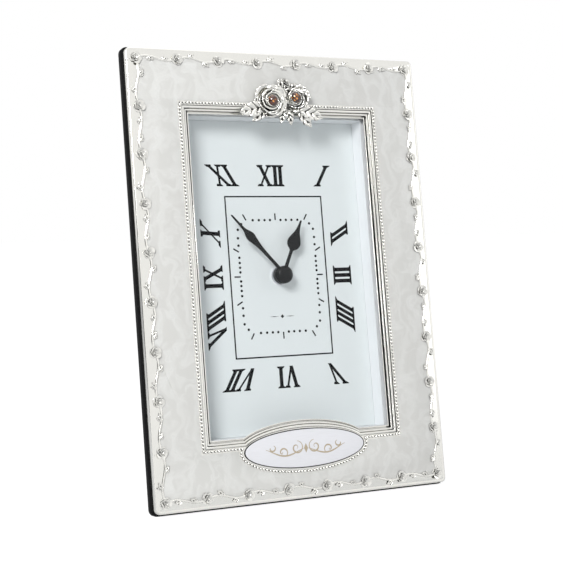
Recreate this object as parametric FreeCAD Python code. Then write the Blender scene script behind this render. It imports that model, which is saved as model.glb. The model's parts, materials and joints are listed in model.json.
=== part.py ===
import FreeCAD, Part
import math
import os

# Photo frame clock. Millimetres and degrees.
# Everything is first built upright: x to the right, y to the back from the front
# plane of the silver plate, z up from the plate's lower edge. At the end each piece
# is leaned back and set on its resting flat, whose centre is the origin.

Vector = FreeCAD.Vector

# How it stands
lean_angle = 9.46
rest_flat_width = 3.0
strut_open_angle = 26.4

# Silver front shell
plate_width = 145.0
plate_height = 200.0
plate_rim_depth = 3.5
plate_sheet = 1.0
plate_corner_radius = 2.2
plate_edge_round = 0.6

# Opening and its reeded moulding, which steps down from the plate to the glass. The
# borders are measured from the plate's edges to the opening.
side_border_width = 28.4
top_border_width = 28.6
bottom_border_width = 29.0
reed_count = 3
reed_width = 1.3
reed_drop = 1.5
reed_proud = 0.8
bead_gap = 0.35
bead_rail_width = 1.3
bead_rail_height = 0.3

# Oval name plate under the opening
name_plate_width = 59.0
name_plate_height = 17.0
name_plate_centre = 22.0
name_plate_thickness = 0.8
name_plate_seat_depth = 0.3
name_plate_groove = 0.35
name_plate_land = 0.5

# Pearl inlay
inlay_margin = 6.2
inlay_thickness = 0.4
inlay_bead_gap = 0.25

# Border of roses on a vine
border_margin = 4.5
border_rose_columns = 8
border_rose_rows = 10
border_rose_diameter = 5.6
border_rose_height = 1.4
vine_width = 0.9
vine_height = 0.5
vine_wave = 1.5
rose_tier_shares = ((1.0, 0.86, 0.36), (0.68, 0.54, 0.72), (0.40, 0.20, 1.0))

# Rose spray with two stones. Places are shares of the spray's half width and half
# height from its centre, and sizes are shares of its width.
spray_width = 41.5
spray_height = 21.2
spray_rise = 6.8
spray_leaf_thickness = 1.4
spray_bloom_height = 4.4
spray_pad_margin = 1.5
bloom_place_shares = ((-0.26, 0.0, 0.33), (0.38, 0.06, 0.27))
bloom_lobe_share = 0.27
bloom_lobes = 6
bloom_core_share = 0.30
leaf_place_shares = (
    (-0.72, -0.47, 0.28, 0.15, 8.0),
    (0.72, -0.52, 0.28, 0.17, -24.0),
    (0.10, -0.68, 0.21, 0.11, 62.0),
    (-0.10, -0.62, 0.18, 0.10, 20.0),
    (0.12, 0.66, 0.20, 0.14, 62.0),
    (0.62, 0.34, 0.20, 0.12, 40.0),
)
stone_place_shares = ((-0.265, -0.02), (0.304, 0.17))
stone_diameter = 4.5
stone_height = 1.9
stone_sink = 0.7
stone_collar_wall = 0.6
stone_sides = 12
stone_table_share = 0.55

# Glass, recess and dial
glass_thickness = 1.5
glass_lap = 3.2
glass_seat = 3.3
surround_wall = 1.5
surround_flange = 3.8
surround_flange_gap = 0.3
surround_floor = 1.5
surround_reveal = 0.1
dial_depth = 12.86
dial_thickness = 0.5
dial_edge_gap = 0.1

# Velvet backing board
board_thickness = 3.4
board_overhang = 0.9
board_corner_radius = 3.0
board_plug_gap = 0.3

# Rear cover, its access opening and screws
cover_wall = 2.0
cover_flange = 8.0
cover_gap = 1.3
cover_corner_radius = 4.0
cover_recess = 4.8
access_margin = 1.5
access_corner_radius = 3.0
screw_inset = 12.0
screw_shank_radius = 1.1
screw_head_radius = 2.5
screw_head_height = 1.4
screw_length = 6.5
screw_slot_width = 0.6
screw_slot_depth = 0.6

# Movement case, with the train's room above and below the hands
case_depth = 16.3
chamber_rise = 26.4
chamber_drop = 9.7
case_wall = 1.6
case_front_wall = 1.4
case_corner_radius = 1.5
middle_plate_gap = 0.2
bushing_radius = 3.4
bushing_hole_gap = 0.1
bushing_end_gap = 0.5
nut_radius = 4.1
nut_height = 1.6
washer_radius = 4.6
washer_thickness = 0.4
post_radius = 1.5
post_inset = 3.2

# Battery, its bay and contacts
battery_diameter = 14.5
battery_length = 50.5
battery_nub_radius = 2.7
battery_nub_length = 1.3
battery_gap = 0.3
battery_end_room = 2.3
contact_thickness = 0.4
contact_width = 8.0
contact_height = 11.0

# Gear train: layers from the front, one wheel thick, with a gap between them
layer_thickness = 1.0
layer_gap = 0.3
running_gap = 0.05
motion_module = 0.35
cannon_teeth = 12
minute_wheel_teeth = 36
minute_pinion_teeth = 10
hour_wheel_teeth = 40
knob_pinion_teeth = 12
third_module = 0.25
third_wheel_teeth = 60
seconds_pinion_teeth = 8
third_pinion_teeth = 8
centre_wheel_teeth = 64
seconds_module = 0.3
seconds_wheel_teeth = 50
intermediate_pinion_teeth = 10
rotor_module = 0.2
intermediate_wheel_teeth = 60
rotor_pinion_teeth = 10
tooth_height_share = 0.9
tooth_depth_share = 1.15
tooth_tip_share = 0.17
tooth_root_share = 0.44
minute_wheel_direction = 110.0
knob_direction = 50.0
third_wheel_direction = 180.0
intermediate_direction = 0.0
rotor_direction = -20.0
minute_arbor_radius = 1.5
hour_pipe_wall = 0.85
train_arbor_radius = 0.5
stud_radius = 0.6
pivot_length = 1.0
hub_radius = 1.1

# Set knob
knob_radius = 4.5
knob_height = 2.6
knob_shaft_radius = 1.2
knob_ribs = 20
knob_rib_height = 0.4
knob_case_gap = 0.3

# Motor and circuit
magnet_radius = 2.4
magnet_air_gap = 0.5
magnet_thickness = 1.0
magnet_float = 0.2
stator_rim = 1.5
stator_thickness = 1.0
stator_below = 6.1
stator_length = 32.5
coil_radius = 3.0
coil_wall_gap = 0.2
coil_end_gap = 1.2
core_width = 2.0
core_thickness = 0.8
core_tab = 2.8
circuit_width = 15.0
circuit_height = 15.0
circuit_thickness = 1.0
chip_size = 5.0
chip_thickness = 1.4
crystal_radius = 1.5
crystal_length = 7.5

# Hands, shown at seven minutes to one
minute_hand_angle = 318.0
hour_hand_angle = 24.0
hand_thickness = 0.4
hand_hub_radius = 3.7
minute_hand_length_share = 0.4195
minute_hand_depth = 7.0
hour_hand_length_share = 0.3084
hour_hand_depth = 8.3
hour_collet_radius = 3.1
minute_collet_radius = 2.3
collet_gap = 0.3
cap_radius = 3.5
cap_height = 1.5
cap_rim = 0.4
minute_hand_outline_shares = (
    (0.10, 0.022),
    (0.42, 0.026),
    (0.60, 0.058),
    (0.70, 0.050),
    (0.76, 0.022),
)
hour_hand_outline_shares = (
    (0.14, 0.034),
    (0.43, 0.034),
    (0.50, 0.085),
    (0.60, 0.127),
    (0.70, 0.115),
    (0.82, 0.050),
)

# Easel strut and its hinge
hinge_rise = 12.3
strut_thickness = 3.0
strut_top_width = 30.0
strut_foot_width = 46.0
strut_foot_clearance = 1.5
strut_corner_radius = 4.0
hinge_width = 24.0
hinge_leaf_thickness = 0.8
hinge_knuckle_radius = 1.8
hinge_pin_radius = 1.0
hinge_pin_head = 0.5
hinge_gap = 0.3
hinge_moving_width = 10.0
bracket_height = 14.0
leaf_height = 14.0
stop_tab_height = 5.5
stop_gap = 0.05
rivet_radius = 1.1
rivet_head_radius = 2.1
rivet_head_height = 0.6
rivet_spread_share = 0.36
rivet_height_share = 0.7
tip_wall = 1.0
tip_height = 7.0
tip_gap = 0.05

# One overrun for every cut, how close counts as the same when edges are picked, and
# half a turn in degrees
half_turn = 180.0
overrun = 1.0
pick_tolerance = 0.01
along_share = 0.9

# Opening, hands and depths that follow from the sizes above
sight_width = plate_width - 2 * side_border_width
sight_bottom = bottom_border_width
sight_height = plate_height - bottom_border_width - top_border_width
sheet_back = plate_sheet
surround_front = glass_seat + glass_thickness
board_front = plate_rim_depth
board_back = board_front + board_thickness
surround_inner_width = sight_width + 2 * surround_reveal
surround_inner_height = sight_height + 2 * surround_reveal
sight_top = sight_bottom + sight_height
sight_middle = sight_bottom + sight_height / 2
spray_centre_height = sight_top + spray_rise
hands_height = sight_middle
minute_hand_length = sight_width * minute_hand_length_share
hour_hand_length = sight_width * hour_hand_length_share
dial_back = dial_depth + dial_thickness
movement_front = dial_back + surround_floor
case_split = movement_front + case_front_wall
movement_back = movement_front + case_depth
case_inner_back = movement_back - case_wall
cover_back = movement_back + cover_recess
hole_clearance_radius = bushing_radius + bushing_hole_gap
flange_half_width = surround_inner_width / 2 + surround_wall + surround_flange
flange_half_height = surround_inner_height / 2 + surround_wall + surround_flange
board_opening_half_width = flange_half_width + surround_flange_gap
board_opening_half_height = flange_half_height + surround_flange_gap
moulding_width = reed_count * reed_width
hinge_pin_depth = cover_back + hinge_knuckle_radius + hinge_gap

# The lean and the shift that sets the resting flat on the ground
lean_sine = math.sin(math.radians(lean_angle))
lean_cosine = math.cos(math.radians(lean_angle))
flat_cut = rest_flat_width * lean_sine * lean_cosine
lowest_corner = -board_back * lean_sine - board_overhang * lean_cosine
ground_shift = -(lowest_corner + flat_cut)
flat_back_y = board_back * lean_cosine + (rest_flat_width * lean_sine - board_overhang) * lean_sine
flat_centre_y = flat_back_y - rest_flat_width / 2


def lean_back(shape):
    """Lean an upright shape back and bring the resting flat to the ground."""
    leaned = shape.copy()
    leaned.rotate(Vector(0, 0, 0), Vector(1, 0, 0), -lean_angle)
    leaned.translate(Vector(0, -flat_centre_y, ground_shift))
    return leaned


def leaned_point(x, y, z):
    """The place of an upright point once the clock leans."""
    return Vector(
        x,
        y * lean_cosine + z * lean_sine - flat_centre_y,
        z * lean_cosine - y * lean_sine + ground_shift,
    )


# Basic solids. Spans are (low, high), and every rod runs from front to back.
def box(x_span, y_span, z_span):
    corner = Vector(x_span[0], y_span[0], z_span[0])
    return Part.makeBox(
        x_span[1] - x_span[0], y_span[1] - y_span[0], z_span[1] - z_span[0], corner
    )


def round_box(x_span, y_span, z_span, radius):
    """A box whose four edges along y are rounded."""
    block = box(x_span, y_span, z_span)
    edges = [e for e in block.Edges if abs(e.tangentAt(e.FirstParameter).y) > along_share]
    return block.makeFillet(radius, edges)


def rod(radius, y_front, y_back, x=0, z=0):
    return Part.makeCylinder(radius, y_back - y_front, Vector(x, y_front, z), Vector(0, 1, 0))


def tube(outer, bore, y_front, y_back, x=0, z=0):
    wall = rod(outer, y_front, y_back, x, z)
    return wall.cut(rod(bore, y_front - overrun, y_back + overrun, x, z))


def cone(front_radius, back_radius, y_front, y_back, x=0, z=0):
    return Part.makeCone(
        front_radius, back_radius, y_back - y_front, Vector(x, y_front, z), Vector(0, 1, 0)
    )


def cross_rod(radius, x_span, y, z):
    """A rod along x."""
    return Part.makeCylinder(radius, x_span[1] - x_span[0], Vector(x_span[0], y, z), Vector(1, 0, 0))


def prism(corners, y_front, y_back):
    """An outline of (x, z) corners carried from front to back."""
    points = [Vector(x, y_front, z) for x, z in corners]
    face = Part.Face(Part.makePolygon(points + points[:1]))
    return face.extrude(Vector(0, y_back - y_front, 0))


def oval(width, height, z_centre, y_front, y_back):
    curve = Part.Ellipse(
        Vector(width / 2, y_front, z_centre),
        Vector(0, y_front, z_centre + height / 2),
        Vector(0, y_front, z_centre),
    )
    face = Part.Face(Part.Wire([curve.toShape()]))
    return face.extrude(Vector(0, y_back - y_front, 0))


def mirrored(half):
    """The (-half, half) span."""
    return (-half, half)


def joined(shapes):
    """One clean solid from overlapping or touching ones."""
    first, rest = shapes[0], shapes[1:]
    return (first.fuse(rest) if rest else first).removeSplitter()


def without(shape, cutters):
    for cutter in cutters:
        shape = shape.cut(cutter)
    return shape


def turned(shape, angle, x=0, z=0):
    """Turned clockwise as seen from the front, about an axis along y."""
    copy = shape.copy()
    copy.rotate(Vector(x, 0, z), Vector(0, 1, 0), angle)
    return copy


# Outlines that the shell, the beads and the inlay share
def surround_slab(grow, y_front, y_back):
    """The moulding's outer rectangle joined to the name plate's oval, both grown."""
    half_width = sight_width / 2 + moulding_width + grow
    z_low = sight_bottom - moulding_width - grow
    z_high = sight_top + moulding_width + grow
    oval_grow = 2 * (name_plate_groove + name_plate_land + grow)
    frame = box(mirrored(half_width), (y_front, y_back), (z_low, z_high))
    plate = oval(
        name_plate_width + oval_grow, name_plate_height + oval_grow, name_plate_centre, y_front, y_back
    )
    return frame.fuse(plate)


def opening_slab(reeds, y_front, y_back):
    """The opening, wider by some reeds, less the arch over the name plate."""
    grow = reeds * reed_width
    arch_grow = 2 * (name_plate_groove + name_plate_land + moulding_width - grow)
    frame = box(
        mirrored(sight_width / 2 + grow), (y_front, y_back), (sight_bottom - grow, sight_top + grow)
    )
    arch = oval(
        name_plate_width + arch_grow,
        name_plate_height + arch_grow,
        name_plate_centre,
        y_front - overrun,
        y_back + overrun,
    )
    return frame.cut(arch)


def border_rose(x, z):
    """A small stepped rosette of three tiers on the plate's face."""
    tiers = []
    foot = 0
    for foot_share, top_share, height_share in rose_tier_shares:
        radius = border_rose_diameter / 2
        top = border_rose_height * height_share
        tiers.append(cone(radius * top_share, radius * foot_share, -top, -foot, x, z))
        foot = top
    return tiers


def vine_arc(start, end, side):
    """Half a wave of the vine between two points, bulging to one side."""
    chord = end - start
    across = Vector(-chord.z, 0, chord.x).normalize()
    crest = (start + end) * 0.5 + across * (side * vine_wave)
    radius = (chord.Length**2 / 4 + vine_wave**2) / (2 * vine_wave)
    centre = crest - across * (side * radius)
    rails = []
    for reach in (radius - vine_width / 2, radius + vine_width / 2):
        rails.append([centre + (point - centre) * (reach / radius) for point in (start, crest, end)])
    inner, outer = rails
    edges = [
        Part.Arc(*inner).toShape(),
        Part.makeLine(inner[2], outer[2]),
        Part.Arc(*outer[::-1]).toShape(),
        Part.makeLine(outer[0], inner[0]),
    ]
    face = Part.Face(Part.Wire(edges))
    return face.extrude(Vector(0, -vine_height, 0))


def border_places():
    """Rose centres round the border, in order, so that each pair shares a vine."""
    half = plate_width / 2 - border_margin
    low, high = border_margin, plate_height - border_margin
    column_step = 2 * half / (border_rose_columns - 1)
    row_step = (high - low) / (border_rose_rows - 1)
    places = [Vector(-half + i * column_step, 0, high) for i in range(border_rose_columns - 1)]
    places += [Vector(half, 0, high - i * row_step) for i in range(border_rose_rows - 1)]
    places += [Vector(half - i * column_step, 0, low) for i in range(border_rose_columns - 1)]
    places += [Vector(-half, 0, low + i * row_step) for i in range(border_rose_rows - 1)]
    return places


def make_border():
    """All border roses, and the vine that waves from each to the next."""
    places = border_places()
    pieces = []
    for place, following in zip(places, places[1:] + places[:1]):
        middle = (place + following) * 0.5
        pieces += border_rose(place.x, place.z)
        pieces.append(vine_arc(place, middle, 1))
        pieces.append(vine_arc(middle, following, -1))
    return pieces


def make_front_frame():
    """The silver shell: rimmed sheet, stepped moulding, bead rail, roses and vine."""
    half = plate_width / 2
    shell = round_box(mirrored(half), (0, plate_rim_depth), (0, plate_height), plate_corner_radius)
    front_edges = [e for e in shell.Edges if e.BoundBox.YMax < pick_tolerance]
    shell = shell.makeFillet(plate_edge_round, front_edges)
    hollow = round_box(
        mirrored(half - plate_sheet),
        (sheet_back, plate_rim_depth + overrun),
        (plate_sheet, plate_height - plate_sheet),
        plate_corner_radius - plate_sheet,
    )
    inlay_cut = inlay_slab(-overrun, inlay_thickness)
    seat = oval(
        name_plate_width + 2 * name_plate_groove,
        name_plate_height + 2 * name_plate_groove,
        name_plate_centre,
        -overrun,
        name_plate_seat_depth,
    )
    hole = opening_slab(reed_count, -overrun, sheet_back + overrun)
    shell = without(shell, [hollow, inlay_cut, seat, hole])
    reeds = []
    for step in range(reed_count):
        front = -reed_proud + step * reed_drop
        back = min(front + reed_drop + plate_sheet, glass_seat)
        ring = opening_slab(reed_count - step, front, back)
        reeds.append(ring.cut(opening_slab(reed_count - step - 1, front - overrun, back + overrun)))
    rail = surround_slab(bead_gap + bead_rail_width, -bead_rail_height, 0)
    rail = rail.cut(surround_slab(bead_gap, -bead_rail_height - overrun, overrun))
    return joined([shell] + reeds + [rail] + make_border())


def inlay_slab(y_front, y_back):
    """The inlay's outline between the border and the beads."""
    half = plate_width / 2 - inlay_margin
    sheet = box(mirrored(half), (y_front, y_back), (inlay_margin, plate_height - inlay_margin))
    grow = bead_gap + bead_rail_width + inlay_bead_gap
    return sheet.cut(surround_slab(grow, y_front - overrun, y_back + overrun))


def make_pearl_inlay():
    return inlay_slab(0, inlay_thickness)


def make_name_plate():
    front = name_plate_seat_depth - name_plate_thickness
    return oval(name_plate_width, name_plate_height, name_plate_centre, front, name_plate_seat_depth)


# Rose spray, which sits on the moulding's outer reed and on the inlay above it
def spray_place(x_share, z_share):
    return (
        x_share * spray_width / 2,
        spray_centre_height + z_share * spray_height / 2,
    )


def stone_places():
    return [spray_place(x_share, z_share) for x_share, z_share in stone_place_shares]


def make_leaf(x, z, length, width, angle):
    """A pointed leaf between two arcs."""
    back = -reed_proud
    left, right = Vector(x - length / 2, back, z), Vector(x + length / 2, back, z)
    above = Part.Arc(left, Vector(x, back, z + width / 2), right).toShape()
    below = Part.Arc(right, Vector(x, back, z - width / 2), left).toShape()
    leaf = Part.Face(Part.Wire([above, below])).extrude(Vector(0, -spray_leaf_thickness, 0))
    return turned(leaf, -angle, x, z)


def make_bloom(x, z, diameter):
    """A ring of half round petals about a core."""
    back = -reed_proud
    lobe = diameter * bloom_lobe_share
    ring = diameter / 2 - lobe
    pieces = [cone(diameter * bloom_core_share, ring + lobe / 2, back - spray_bloom_height, back, x, z)]
    for index in range(bloom_lobes):
        angle = 2 * math.pi * index / bloom_lobes
        place = Vector(x + ring * math.cos(angle), back, z + ring * math.sin(angle))
        pieces.append(Part.makeSphere(lobe, place, Vector(0, -1, 0), 0, half_turn / 2))
    return pieces


def make_rose_spray():
    back = -reed_proud
    pieces = []
    for x_share, z_share, size_share in bloom_place_shares:
        x, z = spray_place(x_share, z_share)
        pieces += make_bloom(x, z, spray_width * size_share)
    for x_share, z_share, length_share, width_share, angle in leaf_place_shares:
        x, z = spray_place(x_share, z_share)
        pieces.append(make_leaf(x, z, spray_width * length_share, spray_width * width_share, angle))
    collar = stone_diameter / 2 + stone_collar_wall
    collar_front = back - spray_bloom_height - stone_collar_wall
    for x, z in stone_places():
        pieces.append(rod(collar, collar_front, back, x, z))
    spray = joined(pieces)
    for x, z in stone_places():
        spray = spray.cut(rod(stone_diameter / 2, collar_front - overrun, collar_front + stone_sink, x, z))
    pad_low = sight_top + moulding_width + bead_gap + bead_rail_width + inlay_bead_gap + spray_pad_margin
    pad_high = max(z for x, z in stone_places()) + stone_diameter / 2
    pad = box(
        (stone_places()[0][0], stone_places()[1][0]), (back - spray_leaf_thickness, 0), (pad_low, pad_high)
    )
    return joined([spray, pad])


def make_amber_stones():
    """Two stones: a faceted crown over a faceted point cut flat in its collar."""
    floor = -reed_proud - spray_bloom_height - stone_collar_wall + stone_sink
    girdle = floor - stone_sink
    stones = []
    for x, z in stone_places():
        rings = []
        for y, share in ((floor, 1.0), (girdle, 1.0), (floor - stone_height, stone_table_share)):
            corners = []
            for index in range(stone_sides + 1):
                angle = 2 * math.pi * index / stone_sides
                reach = share * stone_diameter / 2
                corners.append(Vector(x + reach * math.cos(angle), y, z + reach * math.sin(angle)))
            rings.append(Part.makePolygon(corners))
        base = Part.makeLoft(rings[:2], True, True)
        crown = Part.makeLoft(rings[1:], True, True)
        stones.append(base.fuse(crown).removeSplitter())
    return Part.makeCompound(stones)


# Glass, recess and dial
def make_window_glass():
    return box(
        mirrored(sight_width / 2 + glass_lap),
        (glass_seat, surround_front),
        (sight_bottom - glass_lap, sight_top + glass_lap),
    )


def make_dial_surround():
    """White tray: flange behind the glass, four walls and a floor that holds the dial."""
    half_width = surround_inner_width / 2
    half_height = surround_inner_height / 2
    middle = sight_middle
    flange = box(
        mirrored(flange_half_width),
        (surround_front, board_back),
        (middle - flange_half_height, middle + flange_half_height),
    )
    tray = box(
        mirrored(half_width + surround_wall),
        (surround_front, movement_front),
        (middle - half_height - surround_wall, middle + half_height + surround_wall),
    )
    inside = box(
        mirrored(half_width),
        (surround_front - overrun, dial_back),
        (middle - half_height, middle + half_height),
    )
    hole = rod(hole_clearance_radius, dial_back - overrun, movement_front + overrun, 0, hands_height)
    return without(joined([flange, tray]), [inside, hole])


def make_dial_plate():
    half_width = surround_inner_width / 2 - dial_edge_gap
    half_height = surround_inner_height / 2 - dial_edge_gap
    plate = box(
        mirrored(half_width),
        (dial_depth, dial_back),
        (sight_middle - half_height, sight_middle + half_height),
    )
    return plate.cut(rod(hole_clearance_radius, dial_depth - overrun, dial_back + overrun, 0, hands_height))


def screw_places():
    """The cover screws, in the side flanges near the four corners."""
    half_width, low, high = cover_inner()
    x = half_width + cover_wall + cover_flange / 2
    return [(side * x, z) for side in (-1, 1) for z in (low + screw_inset, high - screw_inset)]


def cover_inner():
    """Inner half width, lowest and highest z of the rear cover."""
    half_width = surround_inner_width / 2 + surround_wall + cover_gap
    half_height = surround_inner_height / 2 + surround_wall + cover_gap
    return half_width, sight_middle - half_height, sight_middle + half_height


def make_backing_board():
    """Velvet board with a plug inside the shell's rim and the opening for the tray."""
    half = plate_width / 2
    board = round_box(
        mirrored(half + board_overhang),
        (board_front, board_back),
        (-board_overhang, plate_height + board_overhang),
        board_corner_radius,
    )
    plug_margin = plate_sheet + board_plug_gap
    plug = round_box(
        mirrored(half - plug_margin),
        (sheet_back, board_front),
        (plug_margin, plate_height - plug_margin),
        plate_corner_radius - plate_sheet,
    )
    opening = box(
        mirrored(board_opening_half_width),
        (0, board_back + overrun),
        (sight_middle - board_opening_half_height, sight_middle + board_opening_half_height),
    )
    pilot_depth = screw_length - cover_wall
    pilots = [
        rod(screw_shank_radius, board_back - pilot_depth, board_back + overrun, x, z)
        for x, z in screw_places()
    ]
    return without(joined([board, plug]), [opening] + pilots)


def make_rear_cover():
    """Flanged box over the tray and the movement, open in the middle of its back."""
    half_width, low, high = cover_inner()
    outside = round_box(
        mirrored(half_width + cover_wall),
        (board_back, cover_back),
        (low - cover_wall, high + cover_wall),
        cover_corner_radius,
    )
    flange = round_box(
        mirrored(half_width + cover_wall + cover_flange),
        (board_back, board_back + cover_wall),
        (low - cover_wall - cover_flange, high + cover_wall + cover_flange),
        cover_corner_radius,
    )
    inside = box(mirrored(half_width), (board_back - overrun, cover_back - cover_wall), (low, high))
    access = round_box(
        mirrored(case_half + access_margin),
        (cover_back - cover_wall - overrun, cover_back + overrun),
        (case_low - access_margin, case_high + access_margin),
        access_corner_radius,
    )
    screw_holes = [
        rod(screw_shank_radius, board_back - overrun, board_back + cover_wall + overrun, x, z)
        for x, z in screw_places()
    ]
    rivet_holes = [
        rod(rivet_radius, cover_back - cover_wall - overrun, cover_back + overrun, x, z)
        for x, z in bracket_rivet_places()
    ]
    return without(joined([outside, flange]), [inside, access] + screw_holes + rivet_holes)


def make_rear_cover_screws():
    seat = board_back + cover_wall
    screws = []
    for x, z in screw_places():
        shank = rod(screw_shank_radius, seat - screw_length, seat, x, z)
        head = rod(screw_head_radius, seat, seat + screw_head_height, x, z)
        slot = box(
            (x - screw_head_radius - overrun, x + screw_head_radius + overrun),
            (seat + screw_head_height - screw_slot_depth, seat + screw_head_height + overrun),
            (z - screw_slot_width / 2, z + screw_slot_width / 2),
        )
        screws.append(joined([shank, head]).cut(slot))
    return Part.makeCompound(screws)


# Places in the movement, in the upright frame
def step_from(place, distance, direction):
    angle = math.radians(direction)
    return (place[0] + distance * math.cos(angle), place[1] + distance * math.sin(angle))


hands_place = (0, hands_height)
motion_distance = motion_module * (cannon_teeth + minute_wheel_teeth) / 2
hour_module = 2 * motion_distance / (hour_wheel_teeth + minute_pinion_teeth)
knob_distance = motion_module * (minute_wheel_teeth + knob_pinion_teeth) / 2
third_distance = third_module * (third_wheel_teeth + seconds_pinion_teeth) / 2
centre_module = 2 * third_distance / (centre_wheel_teeth + third_pinion_teeth)
intermediate_distance = seconds_module * (seconds_wheel_teeth + intermediate_pinion_teeth) / 2
rotor_distance = rotor_module * (intermediate_wheel_teeth + rotor_pinion_teeth) / 2
minute_wheel_place = step_from(hands_place, motion_distance, minute_wheel_direction)
knob_place = step_from(minute_wheel_place, knob_distance, knob_direction)
third_wheel_place = step_from(hands_place, third_distance, third_wheel_direction)
intermediate_place = step_from(hands_place, intermediate_distance, intermediate_direction)
rotor_place = step_from(intermediate_place, rotor_distance, rotor_direction)

# Layers of the train from front to back. The middle plate stands after the second.
layer_pitch = layer_thickness + layer_gap
hour_layer = case_split + layer_gap
minute_layer = hour_layer + layer_pitch
middle_front = minute_layer + layer_pitch
middle_back = middle_front + layer_thickness
centre_layer = middle_back + layer_gap
third_layer = centre_layer + layer_pitch
seconds_layer = third_layer + layer_pitch
intermediate_layer = seconds_layer + layer_pitch
boss_front = intermediate_layer + layer_pitch
hour_pipe_radius = minute_arbor_radius + running_gap + hour_pipe_wall
bushing_bore = hour_pipe_radius + running_gap
pivot_bore = train_arbor_radius + running_gap
nut_back = dial_depth - washer_thickness
bushing_front = nut_back - nut_height - bushing_end_gap

# Train chamber and the battery bay under it. The case is as wide as the wider of them.
coil_axis_x = rotor_place[0] + magnet_radius + magnet_air_gap + stator_rim + coil_wall_gap + coil_radius
train_half = coil_axis_x + coil_radius + coil_wall_gap
bay_half = (battery_length + battery_end_room) / 2
chamber_half = max(train_half, bay_half)
case_half = chamber_half + case_wall
chamber_low = hands_height - chamber_drop
chamber_high = hands_height + chamber_rise
bay_high = chamber_low - case_wall
bay_low = bay_high - battery_diameter - 2 * battery_gap
case_low = bay_low - case_wall
case_high = chamber_high + case_wall
strut_pin_height = case_high + access_margin + hinge_rise
battery_axis_y = case_split + battery_gap + battery_diameter / 2
battery_axis_z = (bay_low + bay_high) / 2


def partner_phase(phase, teeth, partner_teeth, direction):
    """Angle of a tooth of the partner, so that its gap meets the tooth of the first."""
    lead = phase - direction
    return direction + half_turn + half_turn / partner_teeth - lead * teeth / partner_teeth


def toothed_disc(place, teeth, module, phase, y_front):
    """A spur wheel one layer thick. The phase is a tooth's angle from +x to +z."""
    pitch_radius = module * teeth / 2
    tip = pitch_radius + module * tooth_height_share
    root = pitch_radius - module * tooth_depth_share
    half_step = math.pi / teeth
    corners = []
    for index in range(teeth):
        middle = math.radians(phase) + 2 * half_step * index
        for reach, share in (
            (root, -tooth_root_share - tooth_root_share / 2),
            (tip, -tooth_tip_share),
            (tip, tooth_tip_share),
            (root, tooth_root_share + tooth_root_share / 2),
        ):
            angle = middle + share * half_step
            corners.append((place[0] + reach * math.cos(angle), place[1] + reach * math.sin(angle)))
    return prism(corners, y_front, y_front + layer_thickness)


def mesh_phases():
    """Tooth angles of each wheel, so that every pair meshes at rest."""
    phases = {"cannon": 0, "minute_pinion": 0, "third_wheel": 0, "centre_wheel": 0}
    phases["intermediate_pinion"] = 0
    phases["intermediate_wheel"] = 0
    phases["minute_wheel"] = partner_phase(
        phases["cannon"], cannon_teeth, minute_wheel_teeth, minute_wheel_direction
    )
    phases["hour_wheel"] = partner_phase(
        phases["minute_pinion"], minute_pinion_teeth, hour_wheel_teeth, minute_wheel_direction + half_turn
    )
    phases["knob_pinion"] = partner_phase(
        phases["minute_wheel"], minute_wheel_teeth, knob_pinion_teeth, knob_direction
    )
    phases["third_pinion"] = partner_phase(
        phases["centre_wheel"], centre_wheel_teeth, third_pinion_teeth, third_wheel_direction
    )
    phases["seconds_pinion"] = partner_phase(
        phases["third_wheel"], third_wheel_teeth, seconds_pinion_teeth, third_wheel_direction + half_turn
    )
    phases["seconds_wheel"] = partner_phase(
        phases["intermediate_pinion"],
        intermediate_pinion_teeth,
        seconds_wheel_teeth,
        intermediate_direction + half_turn,
    )
    phases["rotor_pinion"] = partner_phase(
        phases["intermediate_wheel"], intermediate_wheel_teeth, rotor_pinion_teeth, rotor_direction
    )
    return phases


phases = mesh_phases()


def case_shell(y_front, y_back):
    return round_box(
        mirrored(case_half),
        (y_front, y_back),
        (case_low, case_high),
        case_corner_radius,
    )


def front_post_places():
    """Posts near the chamber's corners, between the front wall and the middle plate."""
    x = chamber_half - post_inset
    low, high = chamber_low + post_inset, chamber_high - post_inset
    right = hands_place[0] + intermediate_distance
    return [(-x, low), (-x, high), (right, high)]


def rear_post_places():
    x = chamber_half - post_inset
    low, high = chamber_low + post_inset, chamber_high - post_inset
    right = hands_place[0] + intermediate_distance
    return [(-x, low), (right, high)]


def make_case_front():
    """Front wall with the bushing for the hands, the posts and the minute wheel's stud."""
    wall = case_shell(movement_front, case_split)
    bushing = rod(bushing_radius, bushing_front, movement_front, *hands_place)
    posts = [rod(post_radius, case_split, middle_front, x, z) for x, z in front_post_places()]
    stud = rod(stud_radius, case_split, middle_front, *minute_wheel_place)
    bore = rod(bushing_bore, bushing_front - overrun, case_split + overrun, *hands_place)
    knob_seat = rod(pivot_bore, case_split - pivot_length, case_split + overrun, *knob_place)
    return without(joined([wall, bushing, stud] + posts), [bore, knob_seat])


def make_middle_plate():
    """Bearing plate between the motion work and the train."""
    right = coil_axis_x - coil_radius - coil_wall_gap
    plate = box(
        (-chamber_half + middle_plate_gap, right),
        (middle_front, middle_back),
        (chamber_low + middle_plate_gap, chamber_high - middle_plate_gap),
    )
    holes = [
        rod(minute_arbor_radius + running_gap, middle_front - overrun, middle_back + overrun, *hands_place),
        rod(knob_shaft_radius + running_gap, middle_front - overrun, middle_back + overrun, *knob_place),
    ]
    for place in (third_wheel_place, intermediate_place, rotor_place):
        holes.append(rod(pivot_bore, middle_front - overrun, middle_back + overrun, *place))
    return without(plate, holes)


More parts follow.
